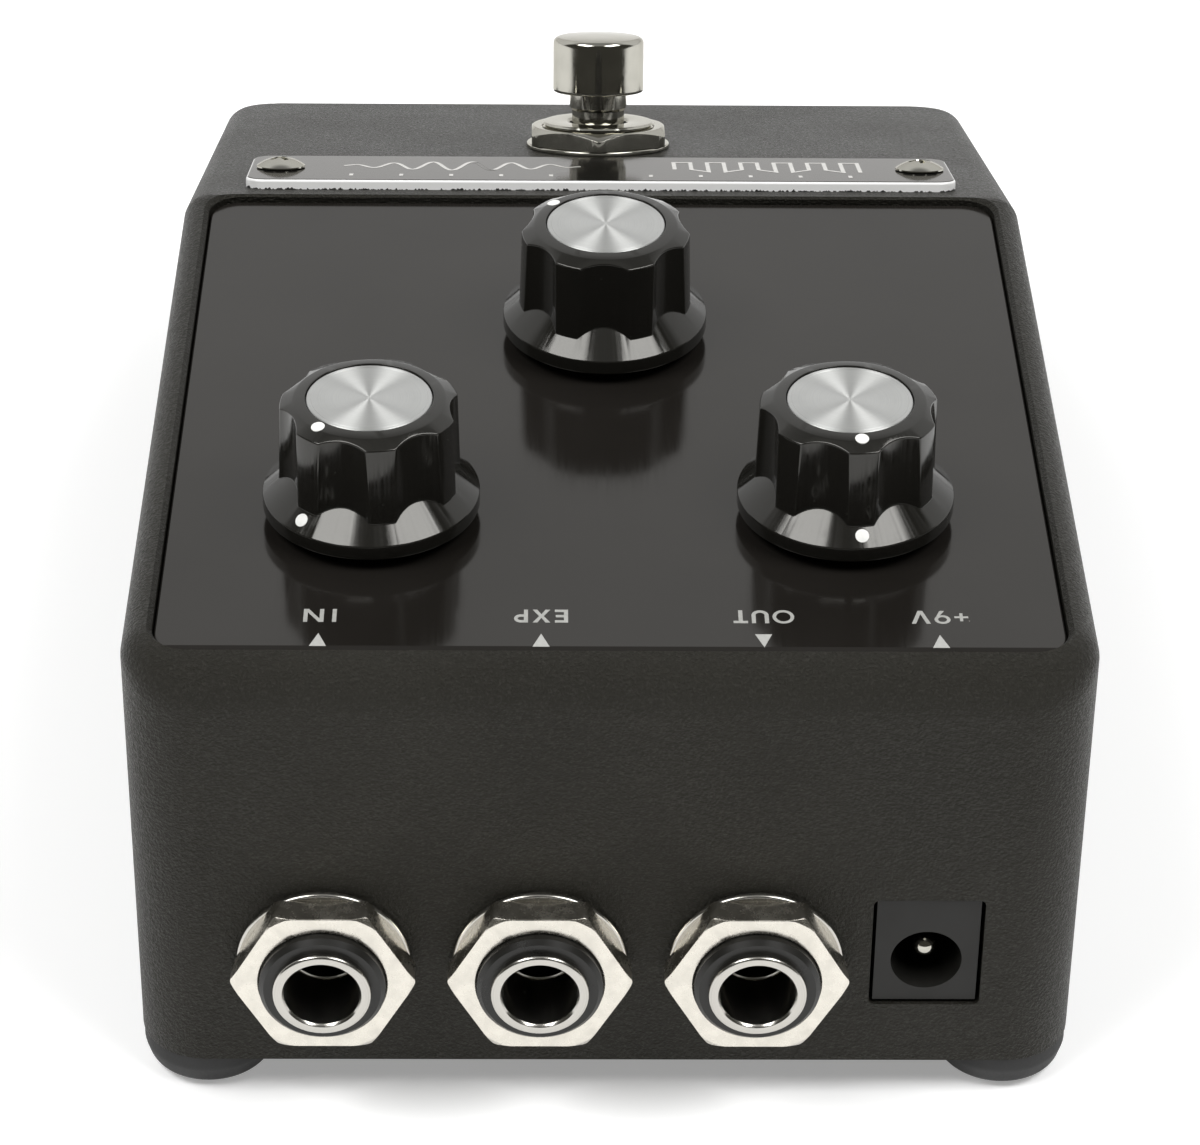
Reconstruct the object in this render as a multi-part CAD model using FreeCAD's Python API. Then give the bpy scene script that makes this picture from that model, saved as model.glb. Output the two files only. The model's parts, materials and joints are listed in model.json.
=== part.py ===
import FreeCAD, Part
import math
import os

from FreeCAD import Placement, Rotation, Vector

# A compact guitar effects pedal: a die-cast box with a level control panel, a foot slope at the
# player's end, three knobs, a foot switch, three 6.35 mm jacks and a barrel power inlet.
# Millimetres. X runs along the jack face, +Y points to the player's end, +Z is up. The origin is
# the middle of the footprint, on the surface that the feet stand on.

# Enclosure
BODY_WIDTH = 82.5
BODY_LENGTH = 141.0
CORNER_RADIUS = 6.0
EDGE_RADIUS = 2.6
NEAR_EDGE_RADIUS = 5.0      # the jack face's top edge is rounder than the others
WALL = 2.5
FOOT_HEIGHT = 3.8
PANEL_ABOVE_BASE = 41.25
RIM_HEIGHT = 0.9            # the rim stands this far above the control panel
SLOPE_FROM_FACE = 81.1      # where the foot slope starts, from the jack face
SLOPE_ANGLE = 19.0
DECK_THICKNESS = 2.0        # cast floor of the panel pocket
BASE_THICKNESS = 1.5
BASE_INSET = 1.2
BOSS_RADIUS = 3.9
BOSS_TOP = 16.0
BASE_GAP = 0.15
RIM_CHAMFER = 0.45

# Control panel and name plate
PANEL_THICKNESS = 1.6
PANEL_WIDTH = 76.9
PANEL_NEAR = 3.3            # from the jack face
PANEL_FAR = 81.4            # from the jack face
PANEL_RADIUS = 3.0
PANEL_GAP = 0.12
PANEL_BEVEL = 1.2           # run of the shallow bevel along the panel's near edge
PANEL_BEVEL_DROP = 0.26
PLATE_LENGTH = 70.9
PLATE_DEPTH = 15.0
PLATE_THICKNESS = 1.0
PLATE_FROM_SLOPE = 3.55     # from the start of the slope, measured along it
PLATE_SCREW_SPACING = 64.6
PLATE_SCREW_HEAD = 2.45

# Knobs: name, position from the centre line and from the jack face, pointer angle at rest
KNOBS = {
    "left": (-20.74, 25.0, 228.0),
    "right": (20.74, 25.0, 276.0),
    "centre": (0.0, 56.0, 140.0),
}
KNOB_LOBES = 7
KNOB_TOP_RADIUS = 7.78
KNOB_LOW_RADIUS = 8.0
SKIRT_RADIUS = 9.5
SKIRT_LOW = 1.0             # heights above the control panel
SKIRT_HIGH = 2.55
CONE_RISE = 0.9             # height gained per millimetre inwards
KNOB_SHOULDER = 11.1
KNOB_HEIGHT = 11.9
FLUTE_DEPTH = 0.78
FLUTE_RADIUS = 5.0
DISC_RADIUS = 5.45
DISC_THICKNESS = 0.7
DISC_SEAT = KNOB_HEIGHT - DISC_THICKNESS - 0.1
SHAFT_RADIUS = 3.175
SHAFT_NECK = 2.5
RUNNING_GAP = 0.05
POT_RADIUS = 8.4
POT_DEPTH = 8.5

# Foot switch, placed along the slope from its start
SWITCH_FROM_SLOPE = 32.0
CAP_RADIUS = 4.77
CAP_TOP = 11.67             # above the slope
CAP_HEIGHT = 5.8
PLUNGER_RADIUS = 3.0
SWITCH_THREAD = 5.9
SWITCH_NUT_FLATS = 14.0
SWITCH_NUT_LOW = 0.5
SWITCH_NUT_HIGH = 2.3

# Jacks and power inlet on the jack face
JACK_AXIS_ABOVE_BASE = 11.23
JACK_FIRST_X = -24.58
JACK_PITCH = 18.72
JACK_NAMES = ("input", "expression", "output")
JACK_PROUD = 5.0
SLEEVE_OUTER = 4.25
SLEEVE_BORE = 3.25
JACK_THREAD = 5.45
NUT_FLATS = 14.0
INLET_X = 27.72
INLET_AXIS_ABOVE_BASE = 11.1
INLET_WIDTH = 9.0
INLET_HEIGHT = 10.9
INLET_BORE = 3.1
INLET_PIN = 1.0
INLET_STEM = 0.8            # the pin's thinner root, held by the housing
INLET_GAP = 0.3
INLET_DEPTH = 14.3
INLET_RECESS = 0.3
BARREL_DEPTH = 10.3

# Circuit boards
BOARD_THICKNESS = 1.6
BOARD_WIDTH = 66.0

# Derived levels
FACE_Y = (JACK_PROUD - BODY_LENGTH) / 2
END_Y = FACE_Y + BODY_LENGTH
BASE_Z = FOOT_HEIGHT
LEDGE_Z = BASE_Z + BASE_THICKNESS
PANEL_Z = BASE_Z + PANEL_ABOVE_BASE
RIM_Z = PANEL_Z + RIM_HEIGHT
POCKET_Z = PANEL_Z - PANEL_THICKNESS
DECK_Z = POCKET_Z - DECK_THICKNESS
SLOPE_Y = FACE_Y + SLOPE_FROM_FACE
SLOPE = math.radians(SLOPE_ANGLE)
JACK_Z = BASE_Z + JACK_AXIS_ABOVE_BASE
INLET_Z = BASE_Z + INLET_AXIS_ABOVE_BASE
INLET_TOP = INLET_Z + 6.5
JACK_BOARD_Z = INLET_TOP
CONTROL_BOARD_Z = 30.0
LED_Y = FACE_Y + 70.0
CORNERS = [
    (sx * (BODY_WIDTH / 2 - CORNER_RADIUS), y)
    for sx in (-1, 1)
    for y in (FACE_Y + CORNER_RADIUS, END_Y - CORNER_RADIUS)
]
X_AXIS = Vector(1, 0, 0)
Z_AXIS = Vector(0, 0, 1)


# ---------------------------------------------------------------- small helpers

def at(x, y, z):
    return Vector(x, y, z)


def disc(radius, low, high, x=0.0, y=0.0):
    """A cylinder along Z between two heights."""
    return Part.makeCylinder(radius, high - low, at(x, y, low))


def ring(outer, inner, low, high, x=0.0, y=0.0):
    return disc(outer, low, high, x, y).cut(disc(inner, low, high, x, y))


def block(x0, x1, y0, y1, z0, z1):
    return Part.makeBox(x1 - x0, y1 - y0, z1 - z0, at(x0, y0, z0))


def rounded_block(width, y0, y1, z0, z1, radius, x=0.0):
    """A box centred on x whose four upright edges are rounded."""
    box = block(x - width / 2, x + width / 2, y0, y1, z0, z1)
    upright = [e for e in box.Edges if e.tangentAt(e.FirstParameter).cross(Z_AXIS).Length < 1e-6]
    return box.makeFillet(radius, upright)


def revolved(points):
    """The closed outline (radius, height) turned about Z."""
    outline = [at(r, 0, z) for r, z in points]
    face = Part.Face(Part.makePolygon(outline + outline[:1]))
    return face.revolve(at(0, 0, 0), Z_AXIS, 360)


def hexagon(flats, low, high, turn=0.0):
    """A hexagonal prism along Z with both faces chamfered; turn 0 puts corners on X."""
    corner = flats / math.sqrt(3)
    angles = [math.radians(60 * k + turn) for k in range(6)]
    points = [at(corner * math.cos(a), corner * math.sin(a), low) for a in angles]
    prism = Part.Face(Part.makePolygon(points + points[:1])).extrude(at(0, 0, high - low))
    face = flats / 2 - 0.15
    drop = (corner - face) * math.tan(math.radians(28))
    lathe = revolved([
        (0, low), (face, low), (corner, low + drop), (corner, high - drop), (face, high), (0, high),
    ])
    return prism.common(lathe)


def placed(shape, position, rotation=None):
    copy = shape.copy()
    copy.Placement = Placement(position, rotation or Rotation()).multiply(copy.Placement)
    return copy


def on_face(shape, x, z):
    """Turn a shape built along +Z so that it points out of the jack face at (x, z)."""
    return placed(shape, at(x, FACE_Y, z), Rotation(X_AXIS, 90))


def on_slope(shape):
    """Slope frame: +Y runs down the slope from its start, +Z stands on it."""
    return placed(shape, at(0, SLOPE_Y, RIM_Z), Rotation(X_AXIS, -SLOPE_ANGLE))


def on_switch(shape):
    return on_slope(placed(shape, at(0, SWITCH_FROM_SLOPE, 0)))


def on_panel(shape, x, from_face):
    return placed(shape, at(x, FACE_Y + from_face, PANEL_Z))


def group(shapes):
    return Part.makeCompound(shapes)


def jack_positions():
    return [(name, JACK_FIRST_X + JACK_PITCH * k) for k, name in enumerate(JACK_NAMES)]


# ---------------------------------------------------------------- enclosure

def profile_prism(inset, low, roof):
    """The side profile (level deck, then slope) as a prism across the whole width."""
    drop = inset / math.cos(SLOPE)
    knee = SLOPE_Y + (RIM_Z - drop - roof) / math.tan(SLOPE)
    end = END_Y - inset
    end_z = RIM_Z - drop - (end - SLOPE_Y) * math.tan(SLOPE)
    outline = [
        (FACE_Y + inset, low), (end, low), (end, end_z), (knee, roof), (FACE_Y + inset, roof),
    ]
    points = [at(-BODY_WIDTH / 2, y, z) for y, z in outline]
    return Part.Face(Part.makePolygon(points + points[:1])).extrude(at(BODY_WIDTH, 0, 0))


def roof_height(y):
    return RIM_Z - max(0.0, y - SLOPE_Y) * math.tan(SLOPE)


def edge_radius(point):
    """How far the top edge is rounded at a point on it."""
    return NEAR_EDGE_RADIUS if point.y < FACE_Y + 0.01 else EDGE_RADIUS


def cast_body():
    """The outside. The near edge's larger rounding blends into the others round both corners."""
    plan = rounded_block(BODY_WIDTH, FACE_Y, END_Y, BASE_Z, RIM_Z, CORNER_RADIUS)
    document = FreeCAD.newDocument("casting")
    body = document.addObject("Part::Feature", "body")
    body.Shape = profile_prism(0.0, BASE_Z, RIM_Z).common(plan)
    top_edges = []
    for number, edge in enumerate(body.Shape.Edges, 1):
        first, last = edge.FirstParameter, edge.LastParameter
        points = [edge.valueAt(place) for place in (first, (first + last) / 2, last)]
        if all(abs(p.z - roof_height(p.y)) < 1e-3 for p in points):
            if points[1].x > 0:      # radii are given in the order the chain of edges runs
                points.reverse()
            top_edges.append((number, edge_radius(points[0]), edge_radius(points[2])))
    fillet = document.addObject("Part::Fillet", "fillet")
    fillet.Base = body
    fillet.Edges = top_edges
    document.recompute()
    rounded = fillet.Shape.copy()
    FreeCAD.closeDocument(document.Name)
    return rounded


def panel_pocket():
    """Cutter for the panel's pocket, flared at the top so that the rim gets a small chamfer."""
    width = PANEL_WIDTH + 2 * PANEL_GAP
    near = FACE_Y + PANEL_NEAR - PANEL_GAP
    far = FACE_Y + PANEL_FAR + PANEL_GAP
    radius = PANEL_RADIUS + PANEL_GAP
    pocket = rounded_block(width, near, far, POCKET_Z, RIM_Z + 1, radius)
    low = RIM_Z - RIM_CHAMFER
    flare = rounded_block(
        width + 2 * RIM_CHAMFER, near - RIM_CHAMFER, far + RIM_CHAMFER, low, RIM_Z + 1,
        radius + RIM_CHAMFER)
    low_edges = [e for e in flare.Edges if all(abs(v.Z - low) < 1e-6 for v in e.Vertexes)]
    return pocket.fuse(flare.makeChamfer(RIM_CHAMFER - 0.01, low_edges))


def make_enclosure():
    shell = cast_body()
    inner_plan = rounded_block(
        BODY_WIDTH - 2 * WALL, FACE_Y + WALL, END_Y - WALL, BASE_Z, RIM_Z, CORNER_RADIUS - WALL)
    cavity = profile_prism(WALL, BASE_Z, DECK_Z).common(inner_plan)
    inlet_room = block(
        INLET_X - INLET_WIDTH / 2 - INLET_GAP, INLET_X + INLET_WIDTH / 2 + INLET_GAP,
        FACE_Y + WALL, FACE_Y + INLET_DEPTH + 1, LEDGE_Z, BOSS_TOP)
    bosses = group([disc(BOSS_RADIUS, LEDGE_Z, BOSS_TOP, x, y) for x, y in CORNERS])
    cavity = cavity.cut(bosses.cut(inlet_room))
    rebate = rounded_block(
        BODY_WIDTH - 2 * BASE_INSET, FACE_Y + BASE_INSET, END_Y - BASE_INSET,
        BASE_Z, LEDGE_Z, CORNER_RADIUS - BASE_INSET)
    shell = shell.cut(cavity.fuse(rebate)).cut(panel_pocket())

    holes = [disc(1.55, LEDGE_Z, 15.0, x, y) for x, y in CORNERS]
    for x, from_face, _ in KNOBS.values():
        holes.append(disc(3.6, DECK_Z, POCKET_Z, x, FACE_Y + from_face))
    holes.append(disc(2.6, DECK_Z, POCKET_Z, 0, LED_Y))
    for _, x in jack_positions():
        holes.append(on_face(disc(5.6, -WALL, 0), x, JACK_Z))
    cut_out = rounded_block(9.7, -5.7, 5.8, -WALL, 0, 0.6)
    holes.append(on_face(cut_out, INLET_X, INLET_Z + 0.95))
    holes.append(on_switch(disc(6.1, -WALL - 0.5, 0.5)))
    for x in (-PLATE_SCREW_SPACING / 2, PLATE_SCREW_SPACING / 2):
        holes.append(on_slope(disc(1.25, -WALL - 0.5, 0.5, x, PLATE_FROM_SLOPE + PLATE_DEPTH / 2)))
    return shell.cut(group(holes))


def make_base_plate():
    inset = BASE_INSET + BASE_GAP
    plate = rounded_block(
        BODY_WIDTH - 2 * inset, FACE_Y + inset, END_Y - inset, BASE_Z, LEDGE_Z, CORNER_RADIUS - inset)
    return plate.cut(group([disc(1.7, BASE_Z, LEDGE_Z, x, y) for x, y in CORNERS]))


def make_feet():
    outline = [
        (1.7, 2.4), (1.7, BASE_Z), (5.6, BASE_Z), (5.7, 2.4), (5.3, 1.0), (4.4, 0.15), (4.0, 0.0),
        (3.5, 0.0), (3.5, 2.4),
    ]
    foot = revolved(outline)
    return group([placed(foot, at(x, y, 0)) for x, y in CORNERS])


def make_base_screws():
    head = revolved([(0, 0.9), (2.2, 0.9), (3.0, 1.4), (3.0, 2.4), (1.5, 2.4), (1.5, 13.0), (0, 13.0)])
    slots = block(-1.6, 1.6, -0.3, 0.3, 0.8, 1.7).fuse(block(-0.3, 0.3, -1.6, 1.6, 0.8, 1.7))
    screw = head.cut(slots)
    return group([placed(screw, at(x, y, 0)) for x, y in CORNERS])


# ---------------------------------------------------------------- panel and name plate

def soften_top(shape, top, size):
    edges = [e for e in shape.Edges if all(abs(v.Z - top) < 1e-6 for v in e.Vertexes)]
    return shape.makeFillet(size, edges)


def panel_bevel():
    """Cutter for the shallow bevel along the panel's near edge."""
    near = FACE_Y + PANEL_NEAR
    outline = [
        (near - 1, PANEL_Z + 1), (near - 1, PANEL_Z - PANEL_BEVEL_DROP),
        (near, PANEL_Z - PANEL_BEVEL_DROP), (near + PANEL_BEVEL, PANEL_Z),
        (near + PANEL_BEVEL, PANEL_Z + 1),
    ]
    points = [at(-BODY_WIDTH / 2, y, z) for y, z in outline]
    return Part.Face(Part.makePolygon(points + points[:1])).extrude(at(BODY_WIDTH, 0, 0))


def make_control_panel():
    plate = rounded_block(
        PANEL_WIDTH, FACE_Y + PANEL_NEAR, FACE_Y + PANEL_FAR, POCKET_Z, PANEL_Z, PANEL_RADIUS)
    plate = soften_top(plate, PANEL_Z, 0.25).cut(panel_bevel())
    holes = [disc(3.6, POCKET_Z, PANEL_Z, x, FACE_Y + y) for x, y, _ in KNOBS.values()]
    holes.append(disc(2.6, POCKET_Z, PANEL_Z, 0, LED_Y))
    return plate.cut(group(holes))


def make_name_plate():
    far = PLATE_FROM_SLOPE + PLATE_DEPTH
    plate = rounded_block(PLATE_LENGTH, PLATE_FROM_SLOPE, far, 0, PLATE_THICKNESS, 2.0)
    plate = soften_top(plate, PLATE_THICKNESS, 0.3)
    for x in (-PLATE_SCREW_SPACING / 2, PLATE_SCREW_SPACING / 2):
        plate = plate.cut(disc(1.5, 0, PLATE_THICKNESS, x, PLATE_FROM_SLOPE + PLATE_DEPTH / 2))
    return on_slope(plate)


def make_name_plate_screws():
    head = Part.makeSphere(4.0, at(0, 0, -2.95)).common(disc(PLATE_SCREW_HEAD, 0, 1.2))
    shank = disc(1.2, -4.5, 0)
    slot = block(-1.5, 1.5, -0.28, 0.28, 0.5, 1.3)
    cross = slot.fuse(placed(slot, at(0, 0, 0), Rotation(Z_AXIS, 90)))
    cross = placed(cross, at(0, 0, 0), Rotation(Z_AXIS, 35))
    screw = head.fuse(shank).cut(cross)
    middle = PLATE_FROM_SLOPE + PLATE_DEPTH / 2
    return group([
        on_slope(placed(screw, at(x, middle, PLATE_THICKNESS)))
        for x in (-PLATE_SCREW_SPACING / 2, PLATE_SCREW_SPACING / 2)
    ])


# ---------------------------------------------------------------- knobs and potentiometers

def cone_height(radius):
    """Height of the skirt's cone above the control panel."""
    return SKIRT_HIGH + (SKIRT_RADIUS - radius) * CONE_RISE


def knob_blank():
    """The turned outline of the knob, hollow below and bored for the shaft."""
    return revolved([
        (5.9, SKIRT_LOW), (SKIRT_RADIUS - 0.15, SKIRT_LOW), (SKIRT_RADIUS, SKIRT_LOW + 0.2),
        (SKIRT_RADIUS, SKIRT_HIGH - 0.2), (SKIRT_RADIUS - 0.2, cone_height(SKIRT_RADIUS - 0.2)),
        (KNOB_LOW_RADIUS, cone_height(KNOB_LOW_RADIUS)), (KNOB_TOP_RADIUS, KNOB_SHOULDER - 0.15),
        (KNOB_TOP_RADIUS - 0.15, KNOB_SHOULDER), (DISC_RADIUS + 0.1, KNOB_HEIGHT),
        (DISC_RADIUS + 0.1, DISC_SEAT), (0, DISC_SEAT),
        (0, 10.7), (SHAFT_RADIUS + 0.02, 10.7), (SHAFT_RADIUS + 0.02, 4.2), (5.9, 4.2),
    ])


def knob_flutes(pointer):
    """Concave cutters between the lobes; below, they end on the cone of the skirt."""
    pitch = 360.0 / KNOB_LOBES
    distance = KNOB_TOP_RADIUS - FLUTE_DEPTH + FLUTE_RADIUS
    outside = distance + FLUTE_RADIUS + 1
    cone = revolved([(0, cone_height(outside)), (outside, cone_height(outside)), (0, cone_height(0))])
    cutters = []
    for k in range(KNOB_LOBES):
        angle = math.radians(pointer + pitch * (k + 0.5))
        x, y = distance * math.cos(angle), distance * math.sin(angle)
        cutters.append(disc(FLUTE_RADIUS, SKIRT_LOW, KNOB_HEIGHT + 1, x, y).cut(cone))
    return group(cutters)


def set_screw_angle(pointer):
    return pointer - 2.5 * 360.0 / KNOB_LOBES


def radial(shape, angle, height):
    """Turn a shape built along +Z to point outwards at an angle about the knob's axis."""
    turn = Rotation(Z_AXIS, angle).multiply(Rotation(Vector(0, 1, 0), 90))
    return placed(shape, at(0, 0, height), turn)


def make_knob(x, from_face, pointer):
    knob = knob_blank().cut(knob_flutes(pointer))
    knob = knob.cut(radial(disc(1.5, SHAFT_RADIUS - 0.5, 9.0), set_screw_angle(pointer), 7.6))
    return on_panel(knob, x, from_face)


def make_knob_disc(x, from_face):
    outline = [
        (0, DISC_SEAT), (DISC_RADIUS, DISC_SEAT), (DISC_RADIUS, KNOB_HEIGHT - 0.2),
        (DISC_RADIUS - 0.12, KNOB_HEIGHT - 0.1), (0, KNOB_HEIGHT - 0.1),
    ]
    return on_panel(revolved(outline), x, from_face)


def make_set_screw(x, from_face, pointer):
    screw = disc(1.48, SHAFT_RADIUS + 0.02, 5.9).cut(hexagon(1.5, 4.6, 6.5))
    return on_panel(radial(screw, set_screw_angle(pointer), 7.6), x, from_face)


def make_pot_shaft(x, from_face):
    """Shaft, its neck in the bushing and the wiper carrier inside the can, in one piece."""
    outline = [
        (0, -10.0), (6.5, -10.0), (6.5, -8.4), (SHAFT_NECK, -8.4), (SHAFT_NECK, 3.6),
        (SHAFT_RADIUS, 3.6), (SHAFT_RADIUS, 10.2), (SHAFT_RADIUS - 0.4, 10.6), (0, 10.6),
    ]
    return on_panel(revolved(outline), x, from_face)


def make_pot_bushing(x, from_face):
    top = 3.4
    low = DECK_Z - PANEL_Z
    outline = [
        (SHAFT_NECK + RUNNING_GAP, low), (3.5, low), (3.5, top - 0.4), (3.2, top),
        (SHAFT_NECK + RUNNING_GAP, top),
    ]
    return on_panel(revolved(outline), x, from_face)


def make_pot_body(x, from_face):
    top = DECK_Z - PANEL_Z
    low = top - POT_DEPTH
    can = disc(POT_RADIUS, low, top)
    can = can.cut(disc(7.2, low + 1.0, top - 1.2)).cut(disc(SHAFT_NECK + 0.3, top - 1.2, top))
    foot = block(-5.0, 5.0, -10.6, -POT_RADIUS + 1.5, low, low + 1.6)
    return on_panel(can.fuse(foot.cut(disc(7.2, low - 1, low + 3))), x, from_face)


def for_each_pot(shape):
    return group([on_panel(shape, x, from_face) for x, from_face, _ in KNOBS.values()])


def make_pot_washers():
    return for_each_pot(ring(5.4, 3.55, 0, 0.5))


def make_pot_nuts():
    return for_each_pot(hexagon(9.6, 0.5, 2.5).cut(disc(3.52, 0, 3)))


def make_pot_terminals():
    low = CONTROL_BOARD_Z + BOARD_THICKNESS - PANEL_Z
    high = DECK_Z - PANEL_Z - POT_DEPTH
    pins = [block(x - 0.5, x + 0.5, -10.2, -9.4, low, high) for x in (-4.0, 0.0, 4.0)]
    return for_each_pot(group(pins))


# ---------------------------------------------------------------- status lamp

def make_status_led():
    lens = revolved([
        (0, -4.6), (2.9, -4.6), (2.9, -3.6), (2.5, -3.6), (2.5, 0.3), (2.2, 1.3), (1.3, 1.9), (0, 2.1),
    ])
    board = CONTROL_BOARD_Z + BOARD_THICKNESS - PANEL_Z
    legs = [block(x - 0.25, x + 0.25, -0.25, 0.25, board, -4.4) for x in (-1.27, 1.27)]
    return placed(lens.fuse(legs), at(0, LED_Y, PANEL_Z))


def make_led_bezel():
    outline = [(2.6, 0), (4.0, 0), (3.9, 0.5), (3.4, 0.9), (2.9, 0.9), (2.6, 0.6)]
    return placed(revolved(outline), at(0, LED_Y, PANEL_Z))


# ---------------------------------------------------------------- foot switch (slope frame)

def make_switch_button():
    """Pressed cap, plunger and the collar that the spring pushes up, in one piece."""
    low = CAP_TOP - CAP_HEIGHT
    cap = revolved([
        (0, low), (CAP_RADIUS - 0.3, low), (CAP_RADIUS, low + 0.3), (CAP_RADIUS, CAP_TOP - 1.0),
        (CAP_RADIUS - 0.3, CAP_TOP - 0.45), (CAP_RADIUS - 1.0, CAP_TOP - 0.12), (0, CAP_TOP),
    ])
    rod = disc(PLUNGER_RADIUS, -8.5, low)
    collar = disc(4.2, -8.5, -7.0)
    return on_switch(cap.fuse(rod).fuse(collar))


def make_switch_bushing():
    bore = PLUNGER_RADIUS + RUNNING_GAP
    top = 2.9
    outline = [
        (bore, -5.0), (SWITCH_THREAD, -5.0), (SWITCH_THREAD, top - 0.3), (SWITCH_THREAD - 0.3, top),
        (bore, top),
    ]
    return on_switch(revolved(outline))


def make_switch_washer():
    return on_switch(ring(7.55, SWITCH_THREAD + 0.05, 0, SWITCH_NUT_LOW))


def make_switch_nut():
    nut = hexagon(SWITCH_NUT_FLATS, SWITCH_NUT_LOW, SWITCH_NUT_HIGH, 30)
    return on_switch(nut.cut(disc(SWITCH_THREAD + 0.02, 0, 3)))


def make_switch_lock_nut():
    nut = hexagon(SWITCH_NUT_FLATS, -WALL - 2.0, -WALL, 30)
    return on_switch(nut.cut(disc(SWITCH_THREAD + 0.02, -5, 0)))


def make_switch_housing():
    box = rounded_block(17.2, -8.6, 8.6, -16.0, -5.0, 1.0)
    return on_switch(box.cut(disc(4.8, -15.0, -6.0)).cut(disc(PLUNGER_RADIUS + 0.3, -6.0, -5.0)))


def make_switch_base():
    return on_switch(rounded_block(16.6, -8.3, 8.3, -18.0, -16.0, 0.8))


def make_switch_terminals():
    lugs = [
        block(x - 1.0, x + 1.0, y - 0.4, y + 0.4, -21.5, -18.0)
        for x in (-5.0, 0.0, 5.0)
        for y in (-5.0, 0.0, 5.0)
    ]
    return on_switch(group(lugs))


def make_switch_spring():
    """Coil spring between the plunger's collar and the floor of the housing."""
    wire = 0.35
    low = -15.0 + wire
    helix = Part.makeHelix(1.45, 6.5 - 2 * wire, 3.6)
    section = Part.Wire([Part.makeCircle(wire, at(3.6, 0, 0), Vector(0, 1, 0))])
    coil = Part.Wire(helix.Edges).makePipeShell([section], True, True)
    return on_switch(placed(coil, at(0, 0, low)))


def make_switch_cable():
    """Flat cable from under the control board to the foot switch's terminal board."""
    path = [
        (FACE_Y + 69.0, 29.2), (FACE_Y + 77.0, 27.6), (FACE_Y + 88.0, 22.6), (FACE_Y + 97.4, 21.0),
    ]
    thickness = 0.8
    points = [at(-4, y, z) for y, z in path]
    points += [at(-4, y, z + thickness) for y, z in reversed(path)]
    return Part.Face(Part.makePolygon(points + points[:1])).extrude(at(8, 0, 0))


# ---------------------------------------------------------------- jacks

def make_jack_housing(x):
    top = JACK_BOARD_Z - JACK_Z
    body = block(-6.5, 6.5, -6.6, top, -24.5, -WALL)
    front = 4.3
    collar = revolved([
        (0, -WALL), (JACK_THREAD, -WALL), (JACK_THREAD, front - 0.4), (JACK_THREAD - 0.4, front),
        (0, front),
    ])
    housing = body.fuse(collar)
    housing = housing.cut(disc(SLEEVE_OUTER, -9.0, front)).cut(disc(3.7, -21.5, -9.0))
    return on_face(housing, x, JACK_Z)


def make_jack_sleeve(x):
    outline = [
        (SLEEVE_BORE, -9.0), (SLEEVE_OUTER, -9.0), (SLEEVE_OUTER, JACK_PROUD - 0.35),
        (SLEEVE_OUTER - 0.1, JACK_PROUD - 0.1), (SLEEVE_OUTER - 0.35, JACK_PROUD),
        (SLEEVE_BORE + 0.25, JACK_PROUD), (SLEEVE_BORE, JACK_PROUD - 0.25),
    ]
    return on_face(revolved(outline), x, JACK_Z)


def for_each_jack(shape):
    return group([on_face(shape, x, JACK_Z) for _, x in jack_positions()])


def make_jack_washers():
    return for_each_jack(ring(7.6, JACK_THREAD + 0.1, 0, 0.7))


def make_jack_nuts():
    return for_each_jack(hexagon(NUT_FLATS, 0.7, 3.3).cut(disc(JACK_THREAD + 0.02, 0, 4)))


def make_jack_contacts():
    """A leaf in each barrel and the solder pins behind the housing."""
    leaf = block(-0.8, 0.8, 2.9, 3.3, -21.4, -17.5)
    top = JACK_BOARD_Z - JACK_Z
    pins = [block(x - 0.6, x + 0.6, -2.0, top, -25.0, -24.5) for x in (-4.5, 0.0, 4.5)]
    return for_each_jack(group([leaf] + pins))


# ---------------------------------------------------------------- power inlet

def make_inlet_housing():
    high = INLET_TOP - INLET_Z
    box = block(
        -INLET_WIDTH / 2, INLET_WIDTH / 2, high - INLET_HEIGHT, high, -INLET_DEPTH, -INLET_RECESS)
    barrel = disc(INLET_BORE, -BARREL_DEPTH, -INLET_RECESS)
    stem = disc(INLET_STEM, -13.0, -BARREL_DEPTH)
    return on_face(box.cut(barrel).cut(stem), INLET_X, INLET_Z)


def make_inlet_pin():
    outline = [
        (0, -13.0), (INLET_STEM, -13.0), (INLET_STEM, -BARREL_DEPTH), (INLET_PIN, -BARREL_DEPTH),
        (INLET_PIN, -2.2), (0.8, -1.8), (0.4, -1.6), (0, -1.55),
    ]
    return on_face(revolved(outline), INLET_X, INLET_Z)


# ---------------------------------------------------------------- circuit boards

def board(near, far, low):
    return block(
        -BOARD_WIDTH / 2, BOARD_WIDTH / 2, FACE_Y + near, FACE_Y + far, low, low + BOARD_THICKNESS)


def make_jack_board():
    return board(3.2, 30.0, JACK_BOARD_Z)


def make_control_board():
    return board(9.0, 74.0, CONTROL_BOARD_Z)


def make_board_header():
    low = JACK_BOARD_Z + BOARD_THICKNESS
    return block(-12.0, 12.0, FACE_Y + 26.0, FACE_Y + 28.6, low, CONTROL_BOARD_Z)


def make_integrated_circuits():
    chips = [
        placed(block(-4.9, 4.9, 0, 6.4, -3.4, 0), at(x, FACE_Y + y, CONTROL_BOARD_Z))
        for x in (-20.0, 0.0, 20.0)
        for y in (36.0, 50.0)
    ]
    return group(chips)


def make_capacitors():
    cans = [
        disc(2.5, CONTROL_BOARD_Z - 5.4, CONTROL_BOARD_Z, x, FACE_Y + y)
        for x in (-28.0, -10.0, 10.0, 28.0)
        for y in (46.0, 62.0)
    ]
    return group(cans)


# ---------------------------------------------------------------- all nodes

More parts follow.
